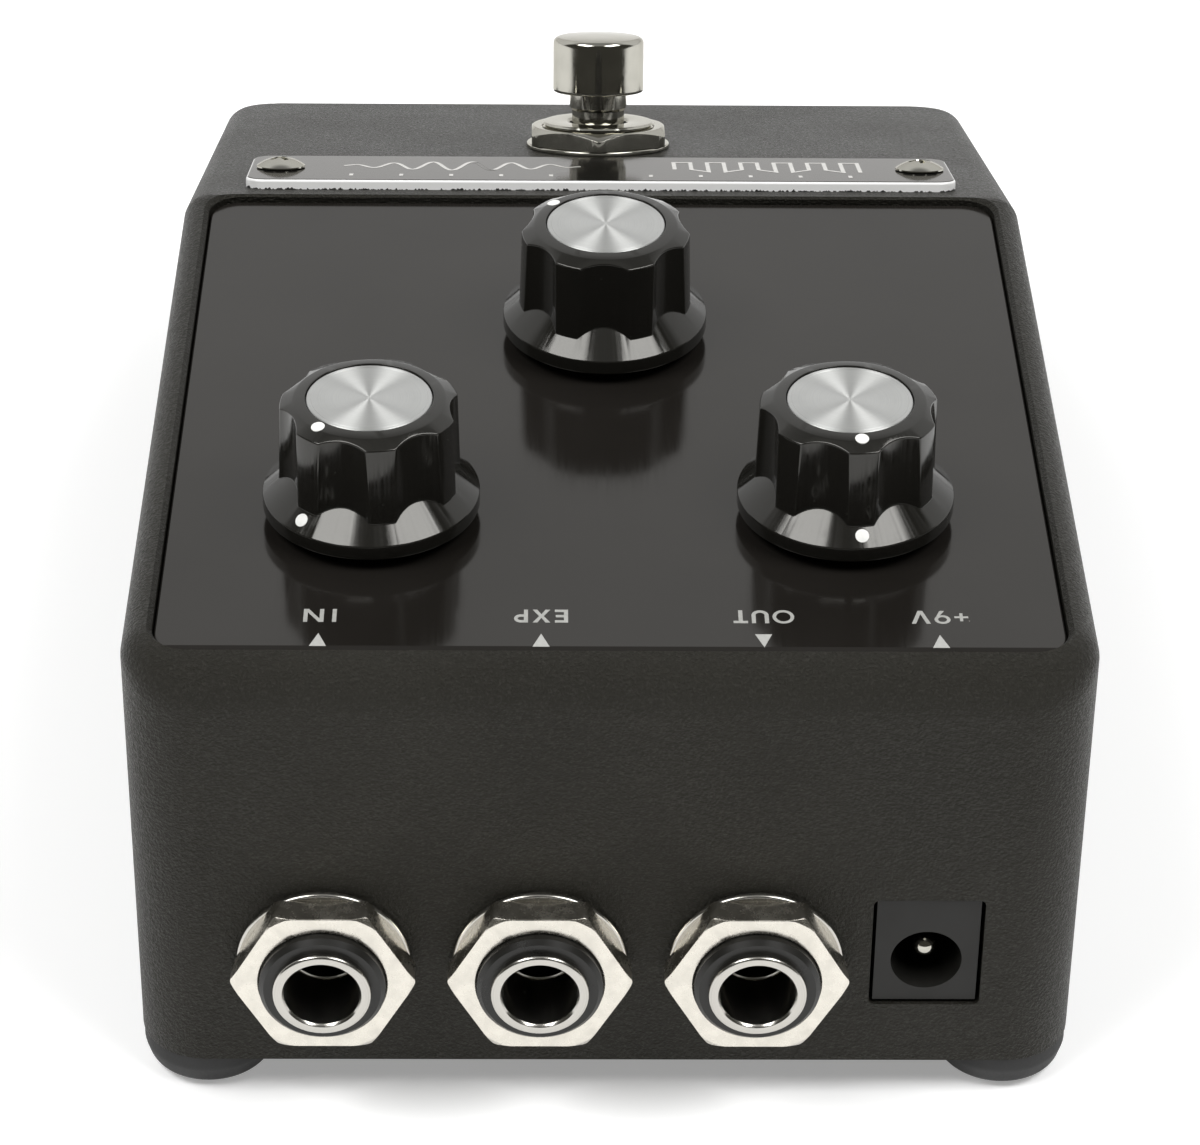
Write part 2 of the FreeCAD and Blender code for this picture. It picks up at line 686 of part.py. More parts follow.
def all_parts():
    parts = {
        "enclosure": make_enclosure(),
        "base_plate": make_base_plate(),
        "base_screws": make_base_screws(),
        "feet": make_feet(),
        "control_panel": make_control_panel(),
        "name_plate": make_name_plate(),
        "name_plate_screws": make_name_plate_screws(),
        "pot_washers": make_pot_washers(),
        "pot_nuts": make_pot_nuts(),
        "pot_terminals": make_pot_terminals(),
        "status_led": make_status_led(),
        "led_bezel": make_led_bezel(),
        "footswitch_button": make_switch_button(),
        "footswitch_bushing": make_switch_bushing(),
        "footswitch_washer": make_switch_washer(),
        "footswitch_nut": make_switch_nut(),
        "footswitch_lock_nut": make_switch_lock_nut(),
        "footswitch_housing": make_switch_housing(),
        "footswitch_base": make_switch_base(),
        "footswitch_terminals": make_switch_terminals(),
        "footswitch_spring": make_switch_spring(),
        "footswitch_cable": make_switch_cable(),
        "jack_washers": make_jack_washers(),
        "jack_nuts": make_jack_nuts(),
        "jack_contacts": make_jack_contacts(),
        "inlet_housing": make_inlet_housing(),
        "inlet_pin": make_inlet_pin(),
        "jack_board": make_jack_board(),
        "control_board": make_control_board(),
        "board_header": make_board_header(),
        "integrated_circuits": make_integrated_circuits(),
        "capacitors": make_capacitors(),
    }
    for name, (x, from_face, pointer) in KNOBS.items():
        parts["knob_" + name] = make_knob(x, from_face, pointer)
        parts["knob_disc_" + name] = make_knob_disc(x, from_face)
        parts["knob_screw_" + name] = make_set_screw(x, from_face, pointer)
        parts["pot_shaft_" + name] = make_pot_shaft(x, from_face)
        parts["pot_bushing_" + name] = make_pot_bushing(x, from_face)
        parts["pot_body_" + name] = make_pot_body(x, from_face)
    for name, x in jack_positions():
        parts["jack_housing_" + name] = make_jack_housing(x)
        parts["jack_sleeve_" + name] = make_jack_sleeve(x)
    return parts


def main():
    os.makedirs("parts", exist_ok=True)
    for name, shape in all_parts().items():
        if not shape.isValid():
            raise ValueError(name + " is not a valid shape")
        shape.exportStep("parts/" + name + ".step")
        box = shape.BoundBox
        print(
            f"{name:24s} solids {len(shape.Solids)} volume {shape.Volume:9.2f}"
            f" z {box.ZMin:6.2f} {box.ZMax:6.2f} y {box.YMin:7.2f} {box.YMax:7.2f}")


main()
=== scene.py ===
import json
import math

import bmesh
import bpy
from mathutils import Matrix, Vector


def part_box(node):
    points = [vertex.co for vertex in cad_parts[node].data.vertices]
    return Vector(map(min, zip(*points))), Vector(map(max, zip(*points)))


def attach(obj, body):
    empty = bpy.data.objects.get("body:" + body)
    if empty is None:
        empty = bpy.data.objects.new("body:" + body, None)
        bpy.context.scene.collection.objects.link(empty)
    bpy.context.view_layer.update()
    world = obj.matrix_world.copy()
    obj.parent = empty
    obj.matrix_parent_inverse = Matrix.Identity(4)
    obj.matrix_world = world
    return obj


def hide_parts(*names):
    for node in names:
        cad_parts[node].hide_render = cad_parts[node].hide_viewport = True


# The looks of a guitar effects pedal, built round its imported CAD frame. Lengths in the code are
# millimetres and are scaled by MM where a mesh is made; the scene itself is in metres.
MM = 0.001

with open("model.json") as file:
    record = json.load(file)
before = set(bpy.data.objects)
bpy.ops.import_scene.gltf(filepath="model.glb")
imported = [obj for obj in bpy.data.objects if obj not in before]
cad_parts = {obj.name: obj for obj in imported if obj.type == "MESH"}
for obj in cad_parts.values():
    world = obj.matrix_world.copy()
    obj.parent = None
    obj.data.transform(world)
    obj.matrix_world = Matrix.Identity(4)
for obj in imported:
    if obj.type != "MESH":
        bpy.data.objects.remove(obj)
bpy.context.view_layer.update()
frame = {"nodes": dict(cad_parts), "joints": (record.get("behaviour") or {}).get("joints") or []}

BODY_LO, BODY_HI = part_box("enclosure")
PANEL_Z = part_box("control_panel")[1].z
FACE_Y = BODY_LO.y
SLOPE_START = 81.1 * MM         # from the jack face to where the foot slope starts
JOINTS = {joint["name"]: joint for joint in frame["joints"]}


def middle_of(node):
    low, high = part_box(node)
    return (low + high) / 2


# ---------------------------------------------------------------- placing

def upright(position):
    return Matrix.Translation(position)


def out_of_face(node):
    """Local +Z points out of the jack face, local +Y points up."""
    centre = middle_of(node)
    place = Matrix.Translation((centre.x, FACE_Y, centre.z))
    return place @ Matrix.Rotation(math.radians(90), 4, "X")


def on_slope(across, along, above=0.0):
    """Local +Z stands on the foot slope, local +Y points down it. Millimetres from its start."""
    normal = Vector(JOINTS["press_footswitch"]["axis"])
    tilt = -math.atan2(normal.y, normal.z)
    start = Matrix.Translation((0, FACE_Y + SLOPE_START, BODY_HI.z))
    return start @ Matrix.Rotation(tilt, 4, "X") @ Matrix.Translation(
        (across * MM, along * MM, above * MM))


# ---------------------------------------------------------------- shader helpers

def add(tree, kind, inputs=None, **settings):
    """Adds a shader node. An input may be a plain value or another node's output."""
    made = tree.nodes.new("ShaderNode" + kind)
    for key, value in settings.items():
        setattr(made, key, value)
    for key, value in (inputs or {}).items():
        if isinstance(value, bpy.types.NodeSocket):
            tree.links.new(value, made.inputs[key])
        else:
            made.inputs[key].default_value = value
    return made


def new_material(name):
    material = bpy.data.materials.new(name)
    material.use_nodes = True
    material.node_tree.nodes.clear()
    return material, material.node_tree


def finish_tree(tree, principled):
    output = add(tree, "OutputMaterial")
    tree.links.new(principled.outputs[0], output.inputs[0])


def local_point(tree, stretch=(1, 1, 1)):
    coordinates = add(tree, "TexCoord")
    mapping = add(tree, "Mapping", {"Vector": coordinates.outputs["Object"], "Scale": stretch})
    return mapping.outputs[0]


def noise(tree, point, size, detail=2.0, **inputs):
    """Noise whose features are about size millimetres wide."""
    settings = {"Vector": point, "Scale": 1.0 / (size * MM), "Detail": detail}
    settings.update(inputs)
    return add(tree, "TexNoise", settings).outputs["Fac"]


def spread(tree, value, low, high, start=0.3, end=0.7):
    """Maps start..end of a value to low..high."""
    made = add(tree, "MapRange", {
        "Value": value, "From Min": start, "From Max": end, "To Min": low, "To Max": high})
    return made.outputs[0]


def mix_colour(tree, factor, first, second):
    return add(tree, "Mix", {0: factor, 6: first, 7: second}, data_type="RGBA").outputs[2]


def math_node(tree, operation, *values):
    return add(tree, "Math", dict(enumerate(values)), operation=operation).outputs[0]


def scaled(colour, factor):
    return tuple(channel * factor for channel in colour) + (1.0,)


def surface(name, colour, roughness, metallic=0.0, grain=0.3, depth=2.0, blotch=7.0, tint=0.12,
            gloss=0.08, stretch=(1, 1, 1), **principled):
    """Fine grain (mm wide, micrometres deep), broad tint changes and uneven gloss."""
    material, tree = new_material(name)
    point = local_point(tree)
    fine = noise(tree, local_point(tree, stretch), grain)
    broad = noise(tree, point, blotch, 3.0)
    tone = mix_colour(
        tree, spread(tree, broad, 0.0, 1.0), scaled(colour, 1 - tint), scaled(colour, 1 + tint))
    rough = math_node(
        tree, "ADD", spread(tree, broad, -gloss, gloss),
        spread(tree, fine, roughness - gloss / 2, roughness + gloss / 2))
    bump = add(tree, "Bump", {"Strength": 1.0, "Distance": depth * 1e-6, "Height": fine})
    inputs = {
        "Base Color": tone, "Roughness": rough, "Metallic": metallic, "Normal": bump.outputs[0]}
    inputs.update(principled)
    finish_tree(tree, add(tree, "BsdfPrincipled", inputs))
    return material


def powder_coat(name):
    """Baked powder coat: a tight pebbled skin with finer grit on it and faint handling marks. The
    pebbles' peaks carry a painted highlight: they are coloured lighter, as if catching the light.
    """
    material, tree = new_material(name)
    point = local_point(tree)
    pebbles = noise(tree, point, 0.26, 3.0, Roughness=0.6)
    waves = noise(tree, point, 0.9, 1.0)
    height = math_node(tree, "MULTIPLY_ADD", waves, 0.3, pebbles)
    marks = noise(tree, point, 14.0, 4.0)
    tone = mix_colour(
        tree, spread(tree, marks, 0.0, 1.0),
        (0.0090, 0.0084, 0.0066, 1), (0.0125, 0.0117, 0.0094, 1))
    # Painted highlight: the peaks of the pebbles are coloured lighter than the coat, standing in
    # for glints of light on them.
    tone = mix_colour(
        tree, spread(tree, pebbles, 0.0, 0.8, 0.52, 0.68), tone, (0.024, 0.023, 0.020, 1))
    rough = math_node(
        tree, "ADD", spread(tree, marks, -0.03, 0.03), spread(tree, pebbles, 0.54, 0.32))
    bump = add(tree, "Bump", {"Strength": 1.0, "Distance": 2.7e-4, "Height": height})
    finish_tree(tree, add(tree, "BsdfPrincipled", {
        "Base Color": tone, "Roughness": rough, "Normal": bump.outputs[0], "IOR": 1.33,
        "Specular Tint": (1.0, 0.97, 0.86, 1)}))
    return material


def glossy_panel(name):
    """Smooth dark enamel with a faint ripple, hairline rubbing marks and a few specks of dust."""
    material, tree = new_material(name)
    point = local_point(tree)
    ripple = noise(tree, point, 2.4, 2.0)
    rubs = noise(tree, local_point(tree, (1, 0.03, 1)), 0.25, 3.0)
    dust = add(tree, "TexVoronoi", {"Vector": point, "Scale": 260.0})
    chosen = math_node(tree, "GREATER_THAN", add(
        tree, "SeparateColor", {"Color": dust.outputs["Color"]}).outputs[0], 0.86)
    near = math_node(tree, "LESS_THAN", dust.outputs["Distance"], 0.02)
    speck = math_node(tree, "MULTIPLY", chosen, near)
    tone = mix_colour(
        tree, spread(tree, noise(tree, point, 20.0, 3.0), 0.0, 1.0),
        (0.010, 0.0088, 0.0075, 1), (0.014, 0.0125, 0.011, 1))
    tone = mix_colour(tree, speck, tone, (0.16, 0.15, 0.14, 1))
    rough = math_node(tree, "ADD", spread(tree, rubs, 0.10, 0.15), math_node(
        tree, "MULTIPLY", speck, 0.5))
    bump = add(tree, "Bump", {"Strength": 1.0, "Distance": 3.0e-6, "Height": ripple})
    finish_tree(tree, add(tree, "BsdfPrincipled", {
        "Base Color": tone, "Roughness": rough, "Normal": bump.outputs[0], "IOR": 1.46,
        "Specular Tint": (0.93, 0.905, 0.85, 1)}))
    return material


def axis_distance(tree):
    """Distance from the piece's own Z axis, in millimetres."""
    parts = add(tree, "SeparateXYZ", {"Vector": add(tree, "TexCoord").outputs["Object"]})
    square = math_node(tree, "MULTIPLY", parts.outputs[0], parts.outputs[0])
    total = math_node(tree, "MULTIPLY_ADD", parts.outputs[1], parts.outputs[1], square)
    return math_node(tree, "MULTIPLY", math_node(tree, "SQRT", total), 1000.0)


def turned_metal(name, colour, roughness, groove=0.08, depth=0.6, anisotropy=0.75, tint=0.06):
    """Metal faced on a lathe: concentric tool marks and the fan-shaped sheen they give."""
    material, tree = new_material(name)
    radius = axis_distance(tree)
    rings = add(tree, "TexNoise", {"W": radius, "Scale": 1.0 / groove, "Detail": 3.0},
                noise_dimensions="1D").outputs["Fac"]
    stains = noise(tree, local_point(tree), 3.0, 4.0)
    tone = mix_colour(
        tree, spread(tree, rings, 0.0, 1.0), scaled(colour, 1 - tint), scaled(colour, 1 + tint))
    tone = mix_colour(
        tree, spread(tree, stains, 0.0, 0.25, 0.5, 0.75), tone, scaled(colour, 0.8))
    rough = math_node(tree, "ADD", spread(tree, stains, -0.03, 0.04), spread(
        tree, rings, roughness - 0.03, roughness + 0.03))
    tangent = add(tree, "Tangent", direction_type="RADIAL", axis="Z")
    bump = add(tree, "Bump", {"Strength": 1.0, "Distance": depth * 1e-6, "Height": rings})
    finish_tree(tree, add(tree, "BsdfPrincipled", {
        "Base Color": tone, "Roughness": rough, "Metallic": 1.0, "Anisotropic": anisotropy,
        "Anisotropic Rotation": 0.25, "Tangent": tangent.outputs[0], "Normal": bump.outputs[0]}))
    return material


def polished_plastic(name):
    """Polished black plastic: marks running down the skirt from buffing, smudges and fine dust."""
    material, tree = new_material(name)
    point = local_point(tree)
    parts = add(tree, "SeparateXYZ", {"Vector": point})
    angle = math_node(tree, "ARCTAN2", parts.outputs[1], parts.outputs[0])
    strokes = add(tree, "TexNoise", {"W": angle, "Scale": 26.0, "Detail": 4.0},
                  noise_dimensions="1D").outputs["Fac"]
    smudges = noise(tree, point, 2.2, 4.0)
    dust = add(tree, "TexVoronoi", {"Vector": point, "Scale": 2200.0})
    chosen = math_node(tree, "GREATER_THAN", add(
        tree, "SeparateColor", {"Color": dust.outputs["Color"]}).outputs[0], 0.972)
    speck = math_node(tree, "MULTIPLY", chosen, math_node(
        tree, "LESS_THAN", dust.outputs["Distance"], 0.12))
    tone = mix_colour(tree, speck, (0.0105, 0.0100, 0.0085, 1), (0.026, 0.025, 0.023, 1))
    rough = math_node(tree, "ADD", spread(tree, strokes, 0.06, 0.16), math_node(
        tree, "ADD", spread(tree, smudges, 0.0, 0.07, 0.5, 0.72), math_node(
            tree, "MULTIPLY", speck, 0.4)))
    height = math_node(tree, "MULTIPLY_ADD", strokes, 0.6, smudges)
    bump = add(tree, "Bump", {"Strength": 1.0, "Distance": 1.2e-6, "Height": height})
    finish_tree(tree, add(tree, "BsdfPrincipled", {
        "Base Color": tone, "Roughness": rough, "Normal": bump.outputs[0], "IOR": 1.5,
        "Specular Tint": (1.0, 0.985, 0.94, 1)}))
    return material


def plate_finish(name):
    """Glossy grey face; the cut sides are bright bare metal, ragged along their lower edge."""
    material, tree = new_material(name)
    point = local_point(tree)
    slope = Vector(JOINTS["press_footswitch"]["axis"])
    facing = add(tree, "VectorMath", {
        0: add(tree, "NewGeometry").outputs["True Normal"], 1: slope}, operation="DOT_PRODUCT")
    side = math_node(tree, "LESS_THAN", facing.outputs["Value"], 0.86)
    foot = Vector((0, FACE_Y + SLOPE_START, BODY_HI.z)).dot(slope)
    level = add(tree, "VectorMath", {0: point, 1: slope}, operation="DOT_PRODUCT")
    height = math_node(tree, "SUBTRACT", level.outputs["Value"], foot)
    burr = noise(tree, local_point(tree, (1, 0.3, 0.3)), 0.28, 2.0)
    edge = spread(tree, burr, -0.12 * MM, 0.22 * MM)
    bare = math_node(tree, "MULTIPLY", side, math_node(tree, "GREATER_THAN", height, edge))
    shaded = math_node(tree, "SUBTRACT", side, bare)
    brushed = noise(tree, local_point(tree, (0.02, 1, 1)), 0.12, 3.0)
    tone = mix_colour(
        tree, spread(tree, brushed, 0.0, 1.0), (0.042, 0.041, 0.038, 1), (0.060, 0.058, 0.055, 1))
    tone = mix_colour(tree, bare, tone, (0.93, 0.93, 0.92, 1))
    tone = mix_colour(tree, shaded, tone, (0.05, 0.05, 0.05, 1))
    rough = math_node(tree, "ADD", spread(tree, brushed, 0.06, 0.11), math_node(
        tree, "MULTIPLY", side, 0.38))
    bump = add(tree, "Bump", {"Strength": 1.0, "Distance": 0.7e-6, "Height": brushed})
    finish_tree(tree, add(tree, "BsdfPrincipled", {
        "Base Color": tone, "Roughness": rough, "Normal": bump.outputs[0],
        "Metallic": math_node(tree, "MULTIPLY_ADD", bare, -0.6, 0.85),
        "Specular Tint": (0.55, 0.54, 0.53, 1)}))
    return material


COAT = powder_coat("powder_coat_black")
PANEL = glossy_panel("panel_enamel")
PLATE = plate_finish("name_plate_metal")
NICKEL = surface("nickel_satin", (0.655, 0.625, 0.56), 0.25, metallic=1.0, grain=0.16, depth=0.9,
                 blotch=1.6, tint=0.10, gloss=0.08)
CHROME = surface("nickel_bright", (0.44, 0.43, 0.385), 0.10, metallic=1.0, grain=0.5, depth=0.4,
                 blotch=2.0, tint=0.07, gloss=0.04, **{"Specular Tint": (0.72, 0.71, 0.68, 1)})
SPUN = turned_metal("disc_spun", (0.60, 0.605, 0.59), 0.47, anisotropy=0.88)
RING_METAL = turned_metal("nickel_turned", (0.50, 0.485, 0.45), 0.20, groove=0.12, depth=0.3,
                          anisotropy=0.35)
KNOB = polished_plastic("knob_polished")
DOT = surface("dot_white", (0.83, 0.83, 0.80), 0.42, grain=0.08, depth=1.5, blotch=0.8, tint=0.05,
              gloss=0.05)
PRINT = surface("print_grey", (0.36, 0.36, 0.34), 0.45, grain=0.06, depth=1.5, blotch=0.5,
                tint=0.10, gloss=0.05)
ARROW = surface("print_light", (0.42, 0.42, 0.40), 0.45, grain=0.06, depth=1.5, blotch=0.5,
                tint=0.08, gloss=0.05)
ORNAMENT = surface("plate_etch", (0.62, 0.61, 0.58), 0.38, metallic=0.5, grain=0.08, depth=1.0,
                   blotch=1.0, tint=0.08, gloss=0.05)
JACK_BLACK = surface("jack_plastic", (0.012, 0.0115, 0.010), 0.33, grain=0.15, depth=2.5,
                     blotch=3.0, tint=0.2, gloss=0.06, IOR=1.42)
INLET_BLACK = surface("inlet_plastic", (0.010, 0.0095, 0.0080), 0.5, grain=0.12, depth=3.0,
                      blotch=3.0, tint=0.12, gloss=0.06, IOR=1.38)
RUBBER = surface("foot_rubber", (0.014, 0.014, 0.014), 0.62, grain=0.22, depth=9.0, blotch=3.0,
                 tint=0.25, gloss=0.08)
ZINC = surface("zinc_plate", (0.58, 0.58, 0.56), 0.3, metallic=1.0, grain=0.3, depth=1.5,
               blotch=2.0, tint=0.12, gloss=0.10)
STEEL = surface("steel_plain", (0.5, 0.5, 0.49), 0.32, metallic=1.0, grain=0.2, depth=1.0,
                blotch=3.0, tint=0.10, gloss=0.08)
BRASS = surface("brass_turned", (0.66, 0.49, 0.25), 0.28, metallic=1.0, grain=0.2, depth=1.0,
                blotch=3.0, tint=0.10, gloss=0.08)
BOARD = surface("board_green", (0.03, 0.15, 0.06), 0.32, grain=0.5, depth=5.0, blotch=3.0,
                tint=0.25, gloss=0.08)
MOULDED = surface("component_black", (0.02, 0.02, 0.02), 0.5, grain=0.15, depth=4.0, blotch=2.0,
                  tint=0.2, gloss=0.06)
CABLE = surface("cable_grey", (0.36, 0.36, 0.38), 0.45, grain=0.6, depth=12.0, blotch=4.0,
                tint=0.1, gloss=0.05, stretch=(1, 0.05, 0.05))
SWITCH_BLUE = surface("switch_blue", (0.05, 0.12, 0.4), 0.42, grain=0.2, depth=3.0, blotch=4.0,
                      tint=0.12, gloss=0.06)
LENS = surface("lamp_lens", (0.42, 0.02, 0.012), 0.12, grain=0.4, depth=1.0, blotch=1.5, tint=0.15,
               gloss=0.03, **{"Transmission Weight": 0.35, "Coat Weight": 0.5})


def dress(material, *nodes):
    """Gives a CAD node its finish."""
    for name in nodes:
        slots = frame["nodes"][name].data.materials
        slots.clear()
        slots.append(material)


KNOB_NAMES = ("left", "right", "centre")
JACK_NAMES = ("input", "expression", "output")
dress(COAT, "enclosure", "base_plate")
dress(PANEL, "control_panel")
dress(PLATE, "name_plate")
dress(ZINC, "base_screws", "pot_terminals")
dress(STEEL, "pot_washers", "pot_nuts", "footswitch_spring")
dress(NICKEL, "footswitch_lock_nut")
dress(SWITCH_BLUE, "footswitch_housing")
dress(MOULDED, "footswitch_base", "board_header", "integrated_circuits", "capacitors")
dress(BRASS, "footswitch_terminals", "jack_contacts")
dress(CABLE, "footswitch_cable")
dress(INLET_BLACK, "inlet_housing")
dress(BOARD, "jack_board", "control_board")
for each in KNOB_NAMES:
    dress(STEEL, "knob_screw_" + each, "pot_bushing_" + each, "pot_body_" + each)
    dress(BRASS, "pot_shaft_" + each)
for each in JACK_NAMES:
    dress(JACK_BLACK, "jack_housing_" + each)


# ---------------------------------------------------------------- mesh helpers

def rounded(points, closed=False, steps=4):
    """Outline points (radius, height[, corner radius]); a corner with a radius becomes an arc."""
    result = []
    count = len(points)
    for k, point in enumerate(points):
        here = Vector(point[:2])
        corner = point[2] if len(point) > 2 else 0
        if not corner or (not closed and k in (0, count - 1)):
            result.append(tuple(here))
            continue
        back = (Vector(points[k - 1][:2]) - here).normalized()
        ahead = (Vector(points[(k + 1) % count][:2]) - here).normalized()
        half = back.angle(ahead) / 2
        centre = here + (back + ahead).normalized() * corner / math.sin(half)
        first = here + back * corner / math.tan(half) - centre
        last = here + ahead * corner / math.tan(half) - centre
        sweep = first.angle(last)
        for step in range(steps + 1):
            share = step / steps
            arm = first * math.sin((1 - share) * sweep) + last * math.sin(share * sweep)
            result.append(tuple(centre + arm / math.sin(sweep)))
    return result


def spin(columns, closed):
    """Joins outlines that stand round the Z axis. Each is a list of (radius, height, angle).
    A closed outline is a loop; an open one starts and ends on the axis."""
    made = bmesh.new()
    poles = {}
    grid = []
    for column in columns:
        line = []
        for k, (radius, height, angle) in enumerate(column):
            if radius < 1e-9:
                if k not in poles:
                    poles[k] = made.verts.new((0, 0, height * MM))
                line.append(poles[k])
            else:
                line.append(made.verts.new((
                    radius * math.cos(angle) * MM, radius * math.sin(angle) * MM, height * MM)))
        grid.append(line)
    rows = len(columns[0])
    for k, line in enumerate(grid):
        other = grid[(k + 1) % len(grid)]
        for row in range(rows if closed else rows - 1):
            after = (row + 1) % rows
            corners = []
            for vertex in (line[row], other[row], other[after], line[after]):
                if vertex not in corners:
                    corners.append(vertex)
            if len(corners) > 2:
                made.faces.new(corners)
    bmesh.ops.recalc_face_normals(made, faces=made.faces)
    return made


def lathe(outline, closed=False, around=120):
    angles = [2 * math.pi * k / around for k in range(around)]
    return spin([[(r, z, a) for r, z in outline] for a in angles], closed)


def dome(radius, base, tall, steps=10):
    """Outline of a quarter ellipse from just inside its rim to the axis."""
    angles = [math.pi / 2 * k / steps for k in range(1, steps)]
    return [(radius * math.cos(a), base + tall * math.sin(a)) for a in angles] + [
        (0, base + tall)]


def soft_min(first, second, blend):
    """The smaller of two radii, with the crease between them rounded."""
    overlap = max(blend - abs(first - second), 0.0) / blend
    return min(first, second) - overlap * overlap * blend / 4


HEX_EASE = 0.42                  # how widely a hexagon's corners are rounded
EDGE_BREAK = 0.07                # every outer edge of a nut is eased by at least this much
CHAMFER_RISE = math.tan(math.radians(30))


def hex_columns(flats, turn, outline_at):
    """Outline columns round a hexagon; outline_at gives the outline for the radius there."""
    offsets = (0.0, 0.5, 1.0, 1.6, 2.4, 3.6, 6.0, 10.0, 15.0, 20.0, 25.0)    # closer at corners
    degrees = [
        60 * k + sign * off for k in range(6) for sign in (-1, 1) for off in offsets
        if not (off == 0.0 and sign < 0)]
    degrees += [60 * k + 30 for k in range(6)]
    columns = []
    for degree in sorted(degrees):
        to_flat = [abs((degree - 30 - 60 * k + 180) % 360 - 180) for k in range(6)]
        by_angle = sorted(to_flat)[:2]
        first, second = (flats / 2 / math.cos(math.radians(d)) for d in by_angle)
        radius = soft_min(first, second, HEX_EASE)
        angle = math.radians(degree + turn)
        columns.append([(r, z, angle) for r, z in outline_at(radius)])
    return columns


def hex_nut(flats, bore, low, high, turn=0.0, face=None):
    """A hexagonal nut. Its outer face is turned down outside the face radius."""
    face = face or flats / 2 - 0.12
    soft = 0.05

    def outline_at(radius):
        flat = min(face, radius - EDGE_BREAK)
        drop = max(0.0, radius - face) * CHAMFER_RISE + 0.6 * EDGE_BREAK
        points = [
            (bore, low), (radius, low, soft), (radius, high - drop, soft),
            (flat, high, soft), (bore + 0.14, high, soft), (bore, high - 0.12)]
        return rounded(points, closed=True, steps=3)

    return spin(hex_columns(flats, turn, outline_at), closed=True)


CREASE = math.radians(34)


def harden(made):
    """Smooth faces, with a crease wherever two faces meet at more than the crease angle."""
    for face in made.faces:
        face.smooth = True
    for edge in made.edges:
        edge.smooth = len(edge.link_faces) == 2 and edge.calc_face_angle(0) < CREASE


def piece(name, made, place, material, body, slot, *nodes, weighted=True):
    """Turns a bmesh into a piece that rides on a body and stands for CAD nodes."""
    harden(made)
    mesh = bpy.data.meshes.new(name)
    made.to_mesh(mesh)
    made.free()
    mesh.materials.append(material)
    made_object = bpy.data.objects.new(name, mesh)
    bpy.context.scene.collection.objects.link(made_object)
    made_object.matrix_world = place
    if weighted:
        normals = made_object.modifiers.new("normals", "WEIGHTED_NORMAL")
        normals.keep_sharp = True
    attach(made_object, body)
    if nodes:
        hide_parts(*nodes)


def block(made, low, high):
    """Adds a box to a bmesh. Corners in millimetres."""
    centre = (Vector(low) + Vector(high)) / 2
    size = Vector(high) - Vector(low)
    place = Matrix.Translation(centre * MM) @ Matrix.Diagonal((*(size * MM), 1))
    bmesh.ops.create_cube(made, size=1.0, matrix=place)


def cut(made, cutter):
    """Boolean difference of two closed bmeshes."""
    objects = []
    for label, source in (("cut_body", made), ("cut_tool", cutter)):
        mesh = bpy.data.meshes.new(label)
        source.to_mesh(mesh)
        source.free()
        holder = bpy.data.objects.new(label, mesh)
        bpy.context.scene.collection.objects.link(holder)
        objects.append(holder)
    body, tool = objects
    boolean = body.modifiers.new("cut", "BOOLEAN")
    boolean.operation = "DIFFERENCE"
    boolean.solver = "EXACT"
    boolean.object = tool
    depsgraph = bpy.context.evaluated_depsgraph_get()
    result = bpy.data.meshes.new_from_object(body.evaluated_get(depsgraph))
    fresh = bmesh.new()
    fresh.from_mesh(result)
    for holder in objects:
        mesh = holder.data
        bpy.data.objects.remove(holder)
        bpy.data.meshes.remove(mesh)
    bpy.data.meshes.remove(result)
    return fresh


# ---------------------------------------------------------------- knobs

LOBES = 7
POINTERS = {"left": 228.0, "right": 276.0, "centre": 140.0}    # degrees at rest
LOBE_TOP, LOBE_FOOT = 7.78, 8.0
FLUTE_CENTRE, FLUTE_RADIUS = 12.0, 5.0
CONE_RIM, CONE_RIM_Z, CONE_RISE = 9.5, 2.55, 0.9
UNDERSIDE = 1.2
HOLLOW_RADIUS, HOLLOW_TOP = 5.9, 4.2    # room for the nut and bushing under the knob
GRIP_RADIUS, GRIP_TOP = 3.195, 10.7     # the bore that takes the shaft
CROWN_INNER, CROWN_HIGH, CROWN_RISE = 5.55, 11.88, 0.19
CROWN_BEND, CROWN_FALL = 6.6, 0.40      # outside this radius the crown falls away faster
DISC_RADIUS, DISC_SEAT, DISC_TOP = 5.45, 11.1, 11.8
SET_SCREW_RADIUS, SET_SCREW_Z = 1.5, 7.6
SET_SCREW_LOBE = 2.5                    # in lobes round from the pointer
DOT_RADIUS, TOP_DOT_AT, SKIRT_DOT_AT = 0.6, 6.3, 8.62


def cone_height(radius):
    return CONE_RIM_Z + (CONE_RIM - radius) * CONE_RISE


def crown_height(radius):
    level = CROWN_HIGH - (radius - CROWN_INNER) * CROWN_RISE
    return level - max(0.0, radius - CROWN_BEND) * (CROWN_FALL - CROWN_RISE)


def flute_edge(lobe):
    """Half the angle that a flute takes up at a lobe radius."""
    value = (lobe ** 2 + FLUTE_CENTRE ** 2 - FLUTE_RADIUS ** 2) / (2 * lobe * FLUTE_CENTRE)
    return math.acos(value)


def wall_radius(lobe, angle):
    """Radius of the fluted wall at an angle from the middle of a flute."""
    across = FLUTE_CENTRE * math.sin(angle)
    if abs(across) >= FLUTE_RADIUS:
        return lobe
    flute = FLUTE_CENTRE * math.cos(angle) - math.sqrt(FLUTE_RADIUS ** 2 - across ** 2)
    return soft_min(lobe, flute, 0.10)


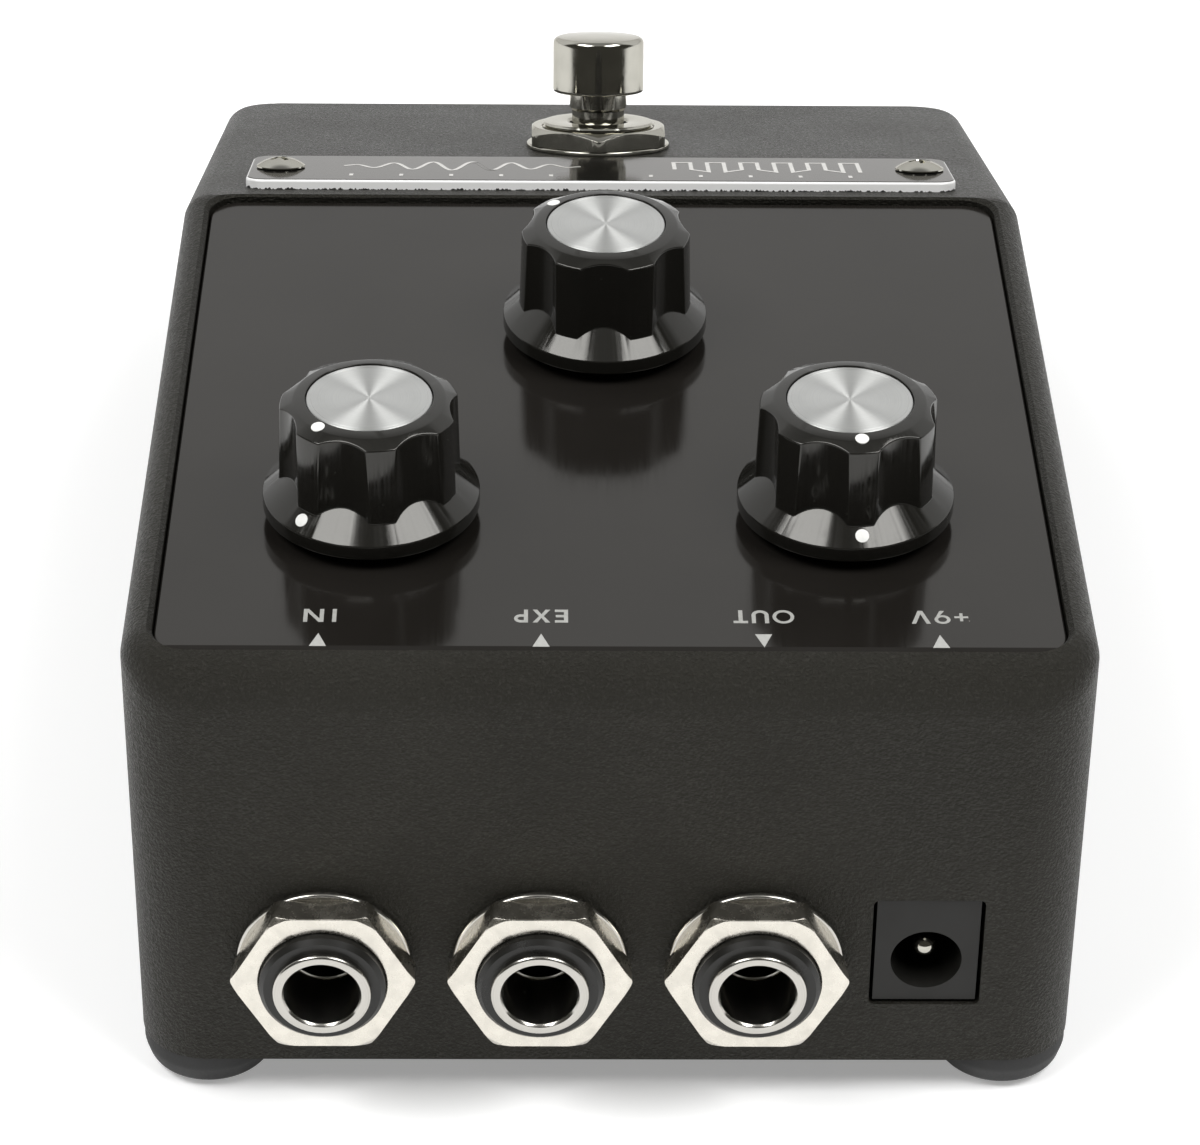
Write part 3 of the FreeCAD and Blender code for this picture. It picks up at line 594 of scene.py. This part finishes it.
def knob_shape(pointer):
    """The fluted body, its conical skirt and its hollow underside as one closed skin."""
    shares = (0.0, 0.2, 0.4, 0.6, 0.76, 0.86, 0.91, 0.95, 0.98, 1.0, 1.02, 1.05, 1.09, 1.16, 1.3)
    half_pitch = math.pi / LOBES
    columns = []
    for flute in range(LOBES):
        start = math.radians(pointer) + half_pitch * (2 * flute + 1)
        signed = sorted({sign * share for share in shares for sign in (-1, 1)})
        for share in signed + [None]:
            if share is None:
                top = foot = half_pitch
            else:
                top, foot = share * flute_edge(LOBE_TOP), share * flute_edge(LOBE_FOOT)
            high, low = wall_radius(LOBE_TOP, top), wall_radius(LOBE_FOOT, foot)
            skirt = rounded([
                (low, cone_height(low) + 1), (low, cone_height(low), 0.18),
                (CONE_RIM, CONE_RIM_Z, 0.22), (CONE_RIM, UNDERSIDE, 0.2),
                (HOLLOW_RADIUS, UNDERSIDE, 0.15), (HOLLOW_RADIUS, HOLLOW_TOP),
                (GRIP_RADIUS, HOLLOW_TOP), (GRIP_RADIUS, GRIP_TOP), (0, GRIP_TOP)])[1:]
            bend = min(CROWN_BEND, high - 0.3)
            crown = rounded([
                (0, DISC_SEAT), (CROWN_INNER, DISC_SEAT), (CROWN_INNER, CROWN_HIGH, 0.07),
                (bend, crown_height(bend), 0.5), (high, crown_height(high) - 0.08, 0.2),
                (high, crown_height(high) - 2)])[:-1]
            column = [(r, z, start + top) for r, z in crown]
            column += [(r, z, start + foot) for r, z in skirt]
            columns.append(column)
    return spin(columns, closed=False)


def dot():
    """A printed dot: a thin disc with a softened edge."""
    foot, edge, middle = -0.08, 0.025, 0.035
    outline = [(0, foot), (DOT_RADIUS, foot), (DOT_RADIUS, edge, 0.03), (0, middle)]
    return lathe(rounded(outline), around=32)


def make_knob(side):
    node = "knob_" + side
    body = "control_" + side
    low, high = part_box(node)
    pointer = POINTERS[side]
    place = upright(((low.x + high.x) / 2, (low.y + high.y) / 2, PANEL_Z))

    inside, outside = 3.0, 9.5           # the drill runs from the bore out through the wall
    drill = lathe([
        (0, inside), (SET_SCREW_RADIUS, inside), (SET_SCREW_RADIUS, outside), (0, outside)],
        around=40)
    screw_turn = Matrix.Rotation(
        math.radians(pointer - SET_SCREW_LOBE * 360 / LOBES), 4, "Z")
    drill.transform(
        Matrix.Translation((0, 0, SET_SCREW_Z * MM)) @ screw_turn
        @ Matrix.Rotation(math.pi / 2, 4, "Y"))
    shape = cut(knob_shape(pointer), drill)
    piece(side + "_knob", shape, place, KNOB, body, "knob_black", node)

    groove = 5.06                        # a fine line turned near the disc's edge
    face = rounded([
        (0, DISC_SEAT), (DISC_RADIUS, DISC_SEAT), (DISC_RADIUS, DISC_TOP, 0.12),
        (groove + 0.04, DISC_TOP, 0.1), (groove, DISC_TOP - 0.03, 0.02),
        (groove - 0.04, DISC_TOP, 0.02), (0, DISC_TOP)])
    piece(side + "_knob_disc", lathe(face, around=160), place, SPUN, body, "spun_aluminium",
          "knob_disc_" + side, weighted=False)

    turn = Matrix.Rotation(math.radians(pointer), 4, "Z")
    for label, radius, height, rise in (
            ("top", TOP_DOT_AT, crown_height(TOP_DOT_AT), CROWN_RISE),
            ("skirt", SKIRT_DOT_AT, cone_height(SKIRT_DOT_AT), CONE_RISE)):
        local = turn @ Matrix.Translation((radius * MM, 0, height * MM))
        local = local @ Matrix.Rotation(math.atan(rise), 4, "Y")
        piece(f"{side}_{label}_dot", dot(), place @ local, DOT, body, "knob_black")


for each in KNOB_NAMES:
    make_knob(each)


# ---------------------------------------------------------------- jacks

NUT_FLATS = 14.0                 # the same across the flats on the jacks and the foot switch
JACK_WASHER_RADIUS, JACK_WASHER_TOP, JACK_NUT_TOP = 7.6, 0.7, 3.3
JACK_NUT_BORE = 5.47
SLEEVE_RADIUS, SLEEVE_TOP, SLEEVE_FOOT = 4.25, 5.0, -9.0
PLUG_BORE, BORE_STEP = 3.25, -1.4        # below the step the bore is a little narrower


def flat_washer(bore, radius, top, low_ease, high_ease):
    return lathe(rounded([
        (bore, 0.0), (radius, 0.0, low_ease), (radius, top, high_ease), (bore, top)], True), True)


def make_jack(name):
    node = "jack_sleeve_" + name
    place = out_of_face(node)
    washer = flat_washer(JACK_NUT_BORE + 0.08, JACK_WASHER_RADIUS, JACK_WASHER_TOP, 0.2, 0.25)
    piece(name + "_jack_washer", washer, place, RING_METAL, "body", "nickel", "jack_washers")
    nut = hex_nut(NUT_FLATS, JACK_NUT_BORE, JACK_WASHER_TOP, JACK_NUT_TOP, face=7.5)
    piece(name + "_jack_nut", nut, place, NICKEL, "body", "nickel", "jack_nuts")
    narrow = PLUG_BORE - 0.13
    sleeve = rounded([
        (narrow, SLEEVE_FOOT), (SLEEVE_RADIUS, SLEEVE_FOOT), (SLEEVE_RADIUS, SLEEVE_TOP, 0.3),
        (PLUG_BORE + 0.2, SLEEVE_TOP, 0.12), (PLUG_BORE, SLEEVE_TOP - 0.25, 0.1),
        (PLUG_BORE, BORE_STEP), (narrow, BORE_STEP - 0.05)], True)
    piece(name + "_jack_sleeve", lathe(sleeve, True), place, RING_METAL, "body", "nickel", node)


for each in JACK_NAMES:
    make_jack(each)


# ---------------------------------------------------------------- power inlet

def make_inlet_spring():
    """The sprung contact that touches the plug's barrel, seen above the centre pin."""
    strip = bmesh.new()
    half, thick = 0.28, 0.14
    line = [(2.75, -9.8), (2.7, -4.2), (2.2, -2.9), (1.75, -2.2), (2.1, -1.5), (2.75, -1.2)]
    sides = []
    for height, depth in line:
        for lift in (0.0, thick):
            sides.append([strip.verts.new((x * MM, (height + lift) * MM, depth * MM))
                          for x in (-half, half)])
    pairs = [sides[k:k + 2] for k in range(0, len(sides), 2)]
    for (low_a, high_a), (low_b, high_b) in zip(pairs, pairs[1:]):
        strip.faces.new((low_a[0], low_a[1], low_b[1], low_b[0]))
        strip.faces.new((high_a[0], high_a[1], high_b[1], high_b[0]))
        strip.faces.new((low_a[0], high_a[0], high_b[0], low_b[0]))
        strip.faces.new((low_a[1], high_a[1], high_b[1], low_b[1]))
    for low, high in (pairs[0], pairs[-1]):
        strip.faces.new((low[0], low[1], high[1], high[0]))
    bmesh.ops.recalc_face_normals(strip, faces=strip.faces)
    piece("inlet_spring", strip, out_of_face("inlet_pin"), CHROME, "body", "nickel")


def make_inlet_pin():
    """The centre pin, with a domed tip."""
    radius, tail, foot, seat, neck = 1.0, 0.8, -13.0, -10.3, -2.4
    outline = [(0, foot), (tail, foot), (tail, seat), (radius, seat), (radius, neck)]
    outline += dome(radius, neck, 0.85)
    piece("inlet_centre_pin", lathe(outline, around=64), out_of_face("inlet_pin"), CHROME,
          "body", "nickel", "inlet_pin")


make_inlet_spring()
make_inlet_pin()


# ---------------------------------------------------------------- foot switch

SWITCH_ALONG = 32.0                      # down the slope from its start
CAP_FOOT, CAP_TOP, CAP_RADIUS = 5.87, 11.67, 4.77
COLLAR_RADIUS, COLLAR_FOOT, COLLAR_TOP = 4.2, -8.5, -7.0
ROD_RADIUS, NECK_RADIUS = 2.75, 3.0
BUSHING_BORE, BUSHING_FOOT, BUSHING_TOP = 3.05, -5.0, 2.72
THREAD_RADIUS, THREAD_ROOT, THREAD_PITCH = 5.9, 5.62, 0.37
THREAD_FROM, THREAD_TO = -4.9, 2.2
SWITCH_WASHER_RADIUS, SWITCH_WASHER_TOP, SWITCH_NUT_TOP = 7.55, 0.5, 2.3


def switch_button():
    """The pressed cap, its plunger and the collar that the spring pushes up."""
    return rounded([
        (0, COLLAR_FOOT), (COLLAR_RADIUS, COLLAR_FOOT), (COLLAR_RADIUS, COLLAR_TOP),
        (ROD_RADIUS, COLLAR_TOP), (ROD_RADIUS, 3.9), (NECK_RADIUS, 4.2), (NECK_RADIUS, 4.6),
        (NECK_RADIUS, CAP_FOOT - 0.1), (NECK_RADIUS + 0.1, CAP_FOOT),
        (CAP_RADIUS, CAP_FOOT, 0.25), (CAP_RADIUS, CAP_FOOT + 0.35),
        (CAP_RADIUS, CAP_TOP - 0.85), (CAP_RADIUS, CAP_TOP - 0.1, 0.62), (1.6, CAP_TOP),
        (0, CAP_TOP)], steps=8)


def switch_bushing():
    """The threaded bushing. Its thread is drawn as rings."""
    outline = [(BUSHING_BORE, BUSHING_FOOT), (THREAD_RADIUS, BUSHING_FOOT)]
    height = THREAD_FROM
    while height < THREAD_TO:
        outline += [(THREAD_RADIUS, height), (THREAD_ROOT, height + 0.17),
                    (THREAD_ROOT, height + 0.2)]
        height += THREAD_PITCH
    return outline + [
        (THREAD_RADIUS, BUSHING_TOP - 0.22), (5.78, BUSHING_TOP - 0.06), (5.6, BUSHING_TOP),
        (3.4, BUSHING_TOP), (BUSHING_BORE, BUSHING_TOP - 0.22)]


def make_foot_switch():
    place = on_slope(0, SWITCH_ALONG)
    piece("switch_cap", lathe(switch_button(), around=160), place, CHROME, "footswitch_button",
          "nickel", "footswitch_button", weighted=False)
    nut = hex_nut(NUT_FLATS, THREAD_RADIUS + 0.02, SWITCH_WASHER_TOP, SWITCH_NUT_TOP, 30.0)
    washer = flat_washer(
        THREAD_RADIUS + 0.05, SWITCH_WASHER_RADIUS, SWITCH_WASHER_TOP, 0.12, 0.18)
    for part, made in (
            ("bushing", lathe(switch_bushing(), True)), ("nut", nut), ("washer", washer)):
        piece("switch_" + part, made, place, CHROME, "body", "nickel", "footswitch_" + part)


make_foot_switch()


# ---------------------------------------------------------------- name plate

PLATE_TOP = 1.0                          # above the slope
PLATE_MIDDLE = 11.05                     # down the slope from its start
PLATE_SCREW_AT = 32.3
SCREW_SPHERE, SCREW_RADIUS, SCREW_TALL = 4.0, 2.43, 1.05
SHANK_RADIUS, SHANK_FOOT = 1.2, -4.5


def slot_cutter(turn):
    """One arm of a cross recess, narrower at its floor."""
    wedge = bmesh.new()
    half_long, half_wide, floor, top = 1.45, 0.30, 0.35, 1.40
    block(wedge, (-half_long, -half_wide, floor), (half_long, half_wide, top))
    for vertex in wedge.verts:
        if vertex.co.z < (floor + top) / 2 * MM:
            vertex.co.x *= 0.55
            vertex.co.y *= 0.7
    wedge.transform(Matrix.Rotation(math.radians(turn), 4, "Z"))
    return wedge


def plate_screw(turn):
    """A domed screw head with a cross recess, and its shank."""
    outline = [(0, SHANK_FOOT), (SHANK_RADIUS, SHANK_FOOT), (SHANK_RADIUS, -0.02), (2.3, 0.0),
               (SCREW_RADIUS + 0.02, 0.10)]
    steps = 12
    for k in range(steps):
        angle = math.asin(SCREW_RADIUS / SCREW_SPHERE) * (1 - k / steps)
        outline.append((SCREW_SPHERE * math.sin(angle),
                        SCREW_SPHERE * (math.cos(angle) - 1) + SCREW_TALL))
    outline.append((0, SCREW_TALL))
    shape = lathe(outline, around=72)
    for quarter in (0, 90):
        shape = cut(shape, slot_cutter(turn + quarter))
    return shape


def make_plate_screws():
    for side, x, turn in (("left", -PLATE_SCREW_AT, 35.0), ("right", PLATE_SCREW_AT, 12.0)):
        piece(side + "_plate_screw", plate_screw(turn), on_slope(x, PLATE_MIDDLE, PLATE_TOP),
              CHROME, "body", "nickel", "name_plate_screws")


make_plate_screws()


def ribbon(points, width):
    """The outline of a line of one width along points, with mitred corners."""
    points = [Vector(point) for point in points]
    runs = [(after - here).normalized() for here, after in zip(points, points[1:])]
    left, right = [], []
    for here, into, out in zip(points, runs[:1] + runs, runs + runs[-1:]):
        across = Vector((-(into + out).y, (into + out).x)).normalized()
        reach = width / 2 / max(across.dot(Vector((-into.y, into.x))), 0.35)
        left.append(here + across * reach)
        right.append(here - across * reach)
    return [left + right[::-1]]


def printed(name, loops, place, thickness, material, slot):
    """Flat artwork: filled outlines with real thickness. A loop inside another is a hole."""
    curve = bpy.data.curves.new(name, "CURVE")
    curve.dimensions = "2D"
    curve.fill_mode = "BOTH"
    curve.extrude = thickness / 2 * MM
    for loop in loops:
        line = curve.splines.new("POLY")
        line.points.add(len(loop) - 1)
        for point, (x, y) in zip(line.points, loop):
            point.co = (x * MM, y * MM, 0, 1)
        line.use_cyclic_u = True
    holder = bpy.data.objects.new(name + "_line", curve)
    bpy.context.scene.collection.objects.link(holder)
    depsgraph = bpy.context.evaluated_depsgraph_get()
    mesh = bpy.data.meshes.new_from_object(holder.evaluated_get(depsgraph))
    made = bmesh.new()
    made.from_mesh(mesh)
    bmesh.ops.remove_doubles(made, verts=made.verts, dist=1e-7)
    bpy.data.objects.remove(holder)
    bpy.data.curves.remove(curve)
    bpy.data.meshes.remove(mesh)
    piece(name, made, place, material, "body", slot)


def oval(x, y, wide, tall, start=0.0, end=360.0, steps=40):
    angles = [math.radians(start + (end - start) * k / steps) for k in range(steps + 1)]
    points = [(x + wide * math.cos(a), y + tall * math.sin(a)) for a in angles]
    return points[:-1] if end - start >= 360 else points


def shifted(loops, along):
    return [[(x + along, y) for x, y in loop] for loop in loops]


ORNAMENT_THICK, ORNAMENT_LINE = 0.03, 0.42
ORNAMENT_ALONG = 3.55                    # its baseline, down the slope from its start
WAVE_START, WAVE_STEP, WAVE_POINTS = -26, 0.15, 161
WAVE_MIDDLE, WAVE_TALL, WAVE_LENGTH = 8.6, 2.6, 4.0
STEPS_START, STEPS_PITCH, STEPS_LOW, STEPS_HIGH = 7.5, 3.4, 5.6, 11.4
TICKS, TICKS_START, TICK_PITCH = 11, -25, 5.0
TICK_HALF, TICK_LOW, TICK_HIGH = 0.2, 2.4, 3.6


def etched(name, loops):
    place = on_slope(0, ORNAMENT_ALONG, PLATE_TOP + ORNAMENT_THICK / 2 - 0.01)
    printed(name, loops, place, ORNAMENT_THICK, ORNAMENT, "plate_metal")


def make_ornament():
    """A plain pattern in place of lettering: a swelling wave, a stepped line, scale ticks."""
    wave = []
    for k in range(WAVE_POINTS):
        run = k * WAVE_STEP
        swell = math.sin(math.pi * k / (WAVE_POINTS - 1)) ** 0.8
        rise = WAVE_TALL * swell * math.sin(2 * math.pi * run / WAVE_LENGTH)
        wave.append((WAVE_START + run, WAVE_MIDDLE + rise))
    etched("plate_wave", ribbon(wave, ORNAMENT_LINE))

    steps = []
    for k in range(6):
        start = STEPS_START + k * STEPS_PITCH
        end = start + STEPS_PITCH / 2
        low = STEPS_LOW + (1.4 if k % 2 == 0 else 0.0)
        steps += [(start, low), (start, STEPS_HIGH), (end, STEPS_HIGH), (end, low)]
    etched("plate_steps", ribbon(steps, ORNAMENT_LINE))

    for k in range(TICKS):
        if k == TICKS // 2:              # the middle stays bare, between wave and steps
            continue
        x = TICKS_START + k * TICK_PITCH
        left, right = x - TICK_HALF, x + TICK_HALF
        etched(f"plate_tick_{k}", [[
            (left, TICK_LOW), (right, TICK_LOW), (right, TICK_HIGH), (left, TICK_HIGH)]])


make_ornament()


# ---------------------------------------------------------------- printed labels

LETTER_TALL, STROKE = 1.93, 0.35
LABEL_ALONG, ARROW_ALONG = 9.92, 6.34    # baselines, from the jack face
ARROW_HALF, ARROW_TALL = 0.72, 1.92
PRINT_THICK = 0.02
# text, name, middle of the text, its width, middle of its arrow, whether the arrow points up
LABELS = (
    ("IN", "in", -24.56, 2.79, -24.58, False),
    ("EXP", "exp", -5.87, 4.57, -5.86, False),
    ("OUT", "out", 12.98, 5.17, 12.86, True),
    ("+9V", "power", 27.9, 4.85, 27.72, False))


def letter(kind):
    """Outline loops of a plain sans letter and its width. The baseline is y = 0."""
    tall, thick = LETTER_TALL, STROKE
    if kind == "I":
        return [[(0, 0), (thick, 0), (thick, tall), (0, tall)]], thick
    if kind == "N":
        wide, lean = 1.72, 0.42
        return [[(0, 0), (thick, 0), (thick, tall - 0.5), (wide - lean, 0), (wide, 0),
                 (wide, tall), (wide - thick, tall), (wide - thick, 0.5), (lean, tall),
                 (0, tall)]], wide
    if kind == "E":
        wide, half = 1.12, tall / 2
        return [[(0, 0), (wide, 0), (wide, thick), (thick, thick), (thick, half - thick / 2),
                 (wide - 0.08, half - thick / 2), (wide - 0.08, half + thick / 2),
                 (thick, half + thick / 2), (thick, tall - thick), (wide, tall - thick),
                 (wide, tall), (0, tall)]], wide
    if kind == "X":
        wide, arm, half = 1.5, 0.4, tall / 2
        inner = 0.27
        return [[(0, 0), (arm, 0), (wide / 2, half - inner), (wide - arm, 0), (wide, 0),
                 (wide / 2 + 0.2, half), (wide, tall), (wide - arm, tall),
                 (wide / 2, half + inner), (arm, tall), (0, tall), (wide / 2 - 0.2, half)]], wide
    if kind == "P":
        bowl = (tall - 0.72) / 2
        middle = tall - bowl
        outer = [(0, 0), (thick, 0), (thick, tall - 2 * bowl)]
        outer += oval(0.62, middle, 0.56, bowl, -90, 90, 20) + [(0, tall)]
        inner = [(thick, tall - 2 * bowl + thick)]
        inner += oval(0.58, middle, 0.30, bowl - thick, -90, 90, 16) + [(thick, tall - thick)]
        return [outer, inner], 1.18
    if kind == "O":
        return [oval(0.92, tall / 2, 0.92, tall / 2 + 0.03),
                oval(0.92, tall / 2, 0.61, tall / 2 - 0.28)], 1.84
    if kind == "U":
        wide = 1.46
        outer = oval(wide / 2, wide / 2, wide / 2, wide / 2, 180, 360, 24)
        inner = oval(wide / 2, wide / 2, wide / 2 - thick, wide / 2 - thick, 360, 180, 24)
        return [[(0, tall), *outer, (wide, tall), (wide - thick, tall), *inner,
                 (thick, tall)]], wide
    if kind == "T":
        wide = 1.24
        stem = (wide - thick) / 2
        return [[(stem, 0), (stem + thick, 0), (stem + thick, tall - thick),
                 (wide, tall - thick), (wide, tall), (0, tall), (0, tall - thick),
                 (stem, tall - thick)]], wide
    if kind == "V":
        wide, foot = 1.62, 0.2
        return [[(wide / 2 - foot, 0), (wide / 2 + foot, 0), (wide, tall), (wide - 0.36, tall),
                 (wide / 2, 0.48), (0.36, tall), (0, tall)]], wide
    if kind == "9":
        bowl = 0.64
        centre = (0.68, tall - bowl)
        tail = [(1.27, tall - 0.9), (0.86, 0.0), (0.46, 0.0)]
        outer = oval(*centre, 0.68, bowl, -42, 285, 40)
        return [tail + outer[::-1], oval(*centre, 0.38, bowl - 0.28)], 1.36
    wide, arm = 1.18, 0.135          # the plus sign
    half, level = wide / 2, tall / 2 - 0.02
    return [[(half - arm, level - half), (half + arm, level - half), (half + arm, level - arm),
             (wide, level - arm), (wide, level + arm), (half + arm, level + arm),
             (half + arm, level + half), (half - arm, level + half), (half - arm, level + arm),
             (0, level + arm), (0, level - arm), (half - arm, level - arm)]], wide


def reading_place(x, from_face):
    """Print on the panel faces the player: it reads along -X and its top is towards -Y."""
    place = Matrix.Translation((x * MM, FACE_Y + from_face * MM, PANEL_Z + 0.004 * MM))
    return place @ Matrix.Rotation(math.pi, 4, "Z")


def make_label(text, name, centre, total):
    """The letters are spaced evenly over the total width."""
    shapes = [letter(kind) for kind in text]
    gap = (total - sum(width for _, width in shapes)) / (len(shapes) - 1)
    start = -total / 2
    for number, (loops, width) in enumerate(shapes):
        printed(f"label_{name}_{number}", shifted(loops, start),
                reading_place(centre, LABEL_ALONG), PRINT_THICK, PRINT, "panel_gloss")
        start += width + gap


def make_arrow(name, x, points_up):
    flat, tip = (0.0, ARROW_TALL) if points_up else (ARROW_TALL, 0.0)
    loop = [(-ARROW_HALF, flat), (ARROW_HALF, flat), (0.0, tip)]
    printed(f"arrow_{name}", [loop], reading_place(x, ARROW_ALONG), PRINT_THICK, ARROW,
            "panel_gloss")


for text, name, centre, total, _, _ in LABELS:
    make_label(text, name, centre, total)
for _, name, _, _, centre, points_up in LABELS:
    make_arrow(name, centre, points_up)


# ---------------------------------------------------------------- lamp and feet

BEZEL_BORE, BEZEL_RADIUS, BEZEL_TALL = 2.62, 4.0, 0.9
LENS_RADIUS, LENS_NECK, LENS_DOME = 2.5, 0.1, 2.0
FLANGE_RADIUS, FLANGE_FOOT, FLANGE_TOP = 2.9, -4.6, -3.6


def make_lamp():
    centre = middle_of("led_bezel")
    place = upright((centre.x, centre.y, PANEL_Z))
    bezel = rounded([
        (BEZEL_BORE, 0.0), (BEZEL_RADIUS, 0.0, 0.05), (BEZEL_RADIUS - 0.1, 0.5, 0.2),
        (3.35, BEZEL_TALL, 0.15), (2.95, BEZEL_TALL, 0.12), (BEZEL_BORE, 0.6)], True, 5)
    piece("lamp_bezel", lathe(bezel, True, 96), place, CHROME, "body", "nickel", "led_bezel")
    lens = [(0, FLANGE_FOOT), (FLANGE_RADIUS, FLANGE_FOOT), (FLANGE_RADIUS, FLANGE_TOP),
            (LENS_RADIUS, FLANGE_TOP), (LENS_RADIUS, LENS_NECK)]
    lens += dome(LENS_RADIUS, LENS_NECK, LENS_DOME)
    piece("lamp_lens", lathe(lens, around=72), place, LENS, "body", "lens", "status_led")


make_lamp()


FOOT_CAD_RADIUS = 5.7
FOOT_BORE, FOOT_SINK, FOOT_SINK_TOP = 1.7, 3.5, 2.4     # the screw's hole and its head's recess


def make_feet():
    low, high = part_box("feet")
    xs = (low.x / MM + FOOT_CAD_RADIUS, high.x / MM - FOOT_CAD_RADIUS)
    ys = (low.y / MM + FOOT_CAD_RADIUS, high.y / MM - FOOT_CAD_RADIUS)
    top = high.z / MM
    outline = rounded([
        (FOOT_BORE, FOOT_SINK_TOP), (FOOT_BORE, top), (5.8, top), (5.93, 2.4, 1.2),
        (5.5, 0.9, 1.2), (4.3, 0.0, 0.5), (FOOT_SINK, 0.0, 0.25),
        (FOOT_SINK, FOOT_SINK_TOP, 0.2)], True, 6)
    for number, (x, y) in enumerate((x, y) for x in xs for y in ys):
        piece(f"foot_{number}", lathe(outline, True, 72), upright((x * MM, y * MM, 0)), RUBBER,
              "body", "rubber", "feet")


make_feet()


# ---------------------------------------------------------------- camera, floor and light

def make_camera():
    """The photograph's viewpoint. Position in millimetres, angles in degrees."""
    position = Vector((-5.938, -354.488, 246.772))
    pitch, yaw, roll = (math.radians(a) for a in (33.726, -0.971, 0.731))
    forward = Vector((
        -math.sin(yaw) * math.cos(pitch), math.cos(yaw) * math.cos(pitch), -math.sin(pitch)))
    right = Vector((math.cos(yaw), math.sin(yaw), 0))
    up = right.cross(forward)
    turned_right = right * math.cos(roll) + up * math.sin(roll)
    turned_up = up * math.cos(roll) - right * math.sin(roll)
    camera = bpy.data.objects.new("camera", bpy.data.cameras.new("camera"))
    bpy.context.scene.collection.objects.link(camera)
    camera.data.lens = 126.81
    camera.data.sensor_width = 36.0
    camera.data.clip_start = 0.01
    camera.data.clip_end = 50.0
    turn = Matrix((turned_right, turned_up, -forward)).transposed().to_4x4()
    camera.matrix_world = Matrix.Translation(position * MM) @ turn
    bpy.context.scene.camera = camera


def make_floor():
    """A pale sweep of paper, slightly uneven in tone."""
    made = bmesh.new()
    bmesh.ops.create_grid(made, x_segments=24, y_segments=24, size=2.5)
    mesh = bpy.data.meshes.new("floor")
    made.to_mesh(mesh)
    made.free()
    mesh.materials.append(surface(
        "floor_paper", (0.86, 0.86, 0.86), 0.9, grain=0.8, depth=4.0, blotch=300.0, tint=0.008,
        gloss=0.02, **{"Emission Color": (1, 1, 1, 1), "Emission Strength": 0.3}))
    floor = bpy.data.objects.new("floor", mesh)
    bpy.context.scene.collection.objects.link(floor)


def softbox(name, direction, distance, size, strength):
    light = bpy.data.lights.new(name, "AREA")
    light.shape = "RECTANGLE"
    light.size, light.size_y = size
    light.energy = strength
    lamp = bpy.data.objects.new(name, light)
    bpy.context.scene.collection.objects.link(lamp)
    toward = Vector(direction).normalized()
    lamp.matrix_world = Matrix.Translation(toward * distance) @ toward.to_track_quat(
        "Z", "Y").to_matrix().to_4x4()


def make_light():
    """Bright backdrop behind, dark room on the camera's side, grey ceiling, two softboxes."""
    world = bpy.data.worlds.new("studio")
    world.use_nodes = True
    tree = world.node_tree
    tree.nodes.clear()
    direction = add(tree, "SeparateXYZ", {
        "Vector": add(tree, "TexCoord").outputs["Generated"]})
    ramp = add(tree, "ValToRGB", {"Fac": direction.outputs[2]})
    stops = ((0.0, 0.95), (0.70, 0.92), (0.84, 0.34), (1.0, 0.22))
    elements = ramp.color_ramp.elements
    while len(elements) < len(stops):
        elements.new(0.5)
    for element, (position, grey) in zip(elements, stops):
        element.position = position
        element.color = (grey, grey, grey, 1)
    behind = spread(tree, direction.outputs[1], 0.0, 1.0, 0.08, 0.22)
    overhead = spread(tree, direction.outputs[2], 0.0, 1.0, 0.78, 0.95)
    near_side = mix_colour(tree, overhead, (0.066, 0.064, 0.056, 1), (0.42, 0.42, 0.41, 1))
    colour = mix_colour(tree, behind, near_side, ramp.outputs[0])
    background = add(tree, "Background", {"Color": colour, "Strength": 1.0})
    output = add(tree, "OutputWorld")
    tree.links.new(background.outputs[0], output.inputs[0])
    bpy.context.scene.world = world
    for name, side in (("softbox_left", -1), ("softbox_right", 1)):
        softbox(name, (0.57 * side, -0.31, 1.0), 1.3, (0.77, 0.46), 10.0)
    bpy.context.scene.view_settings.view_transform = "Standard"


make_camera()
make_floor()
make_light()
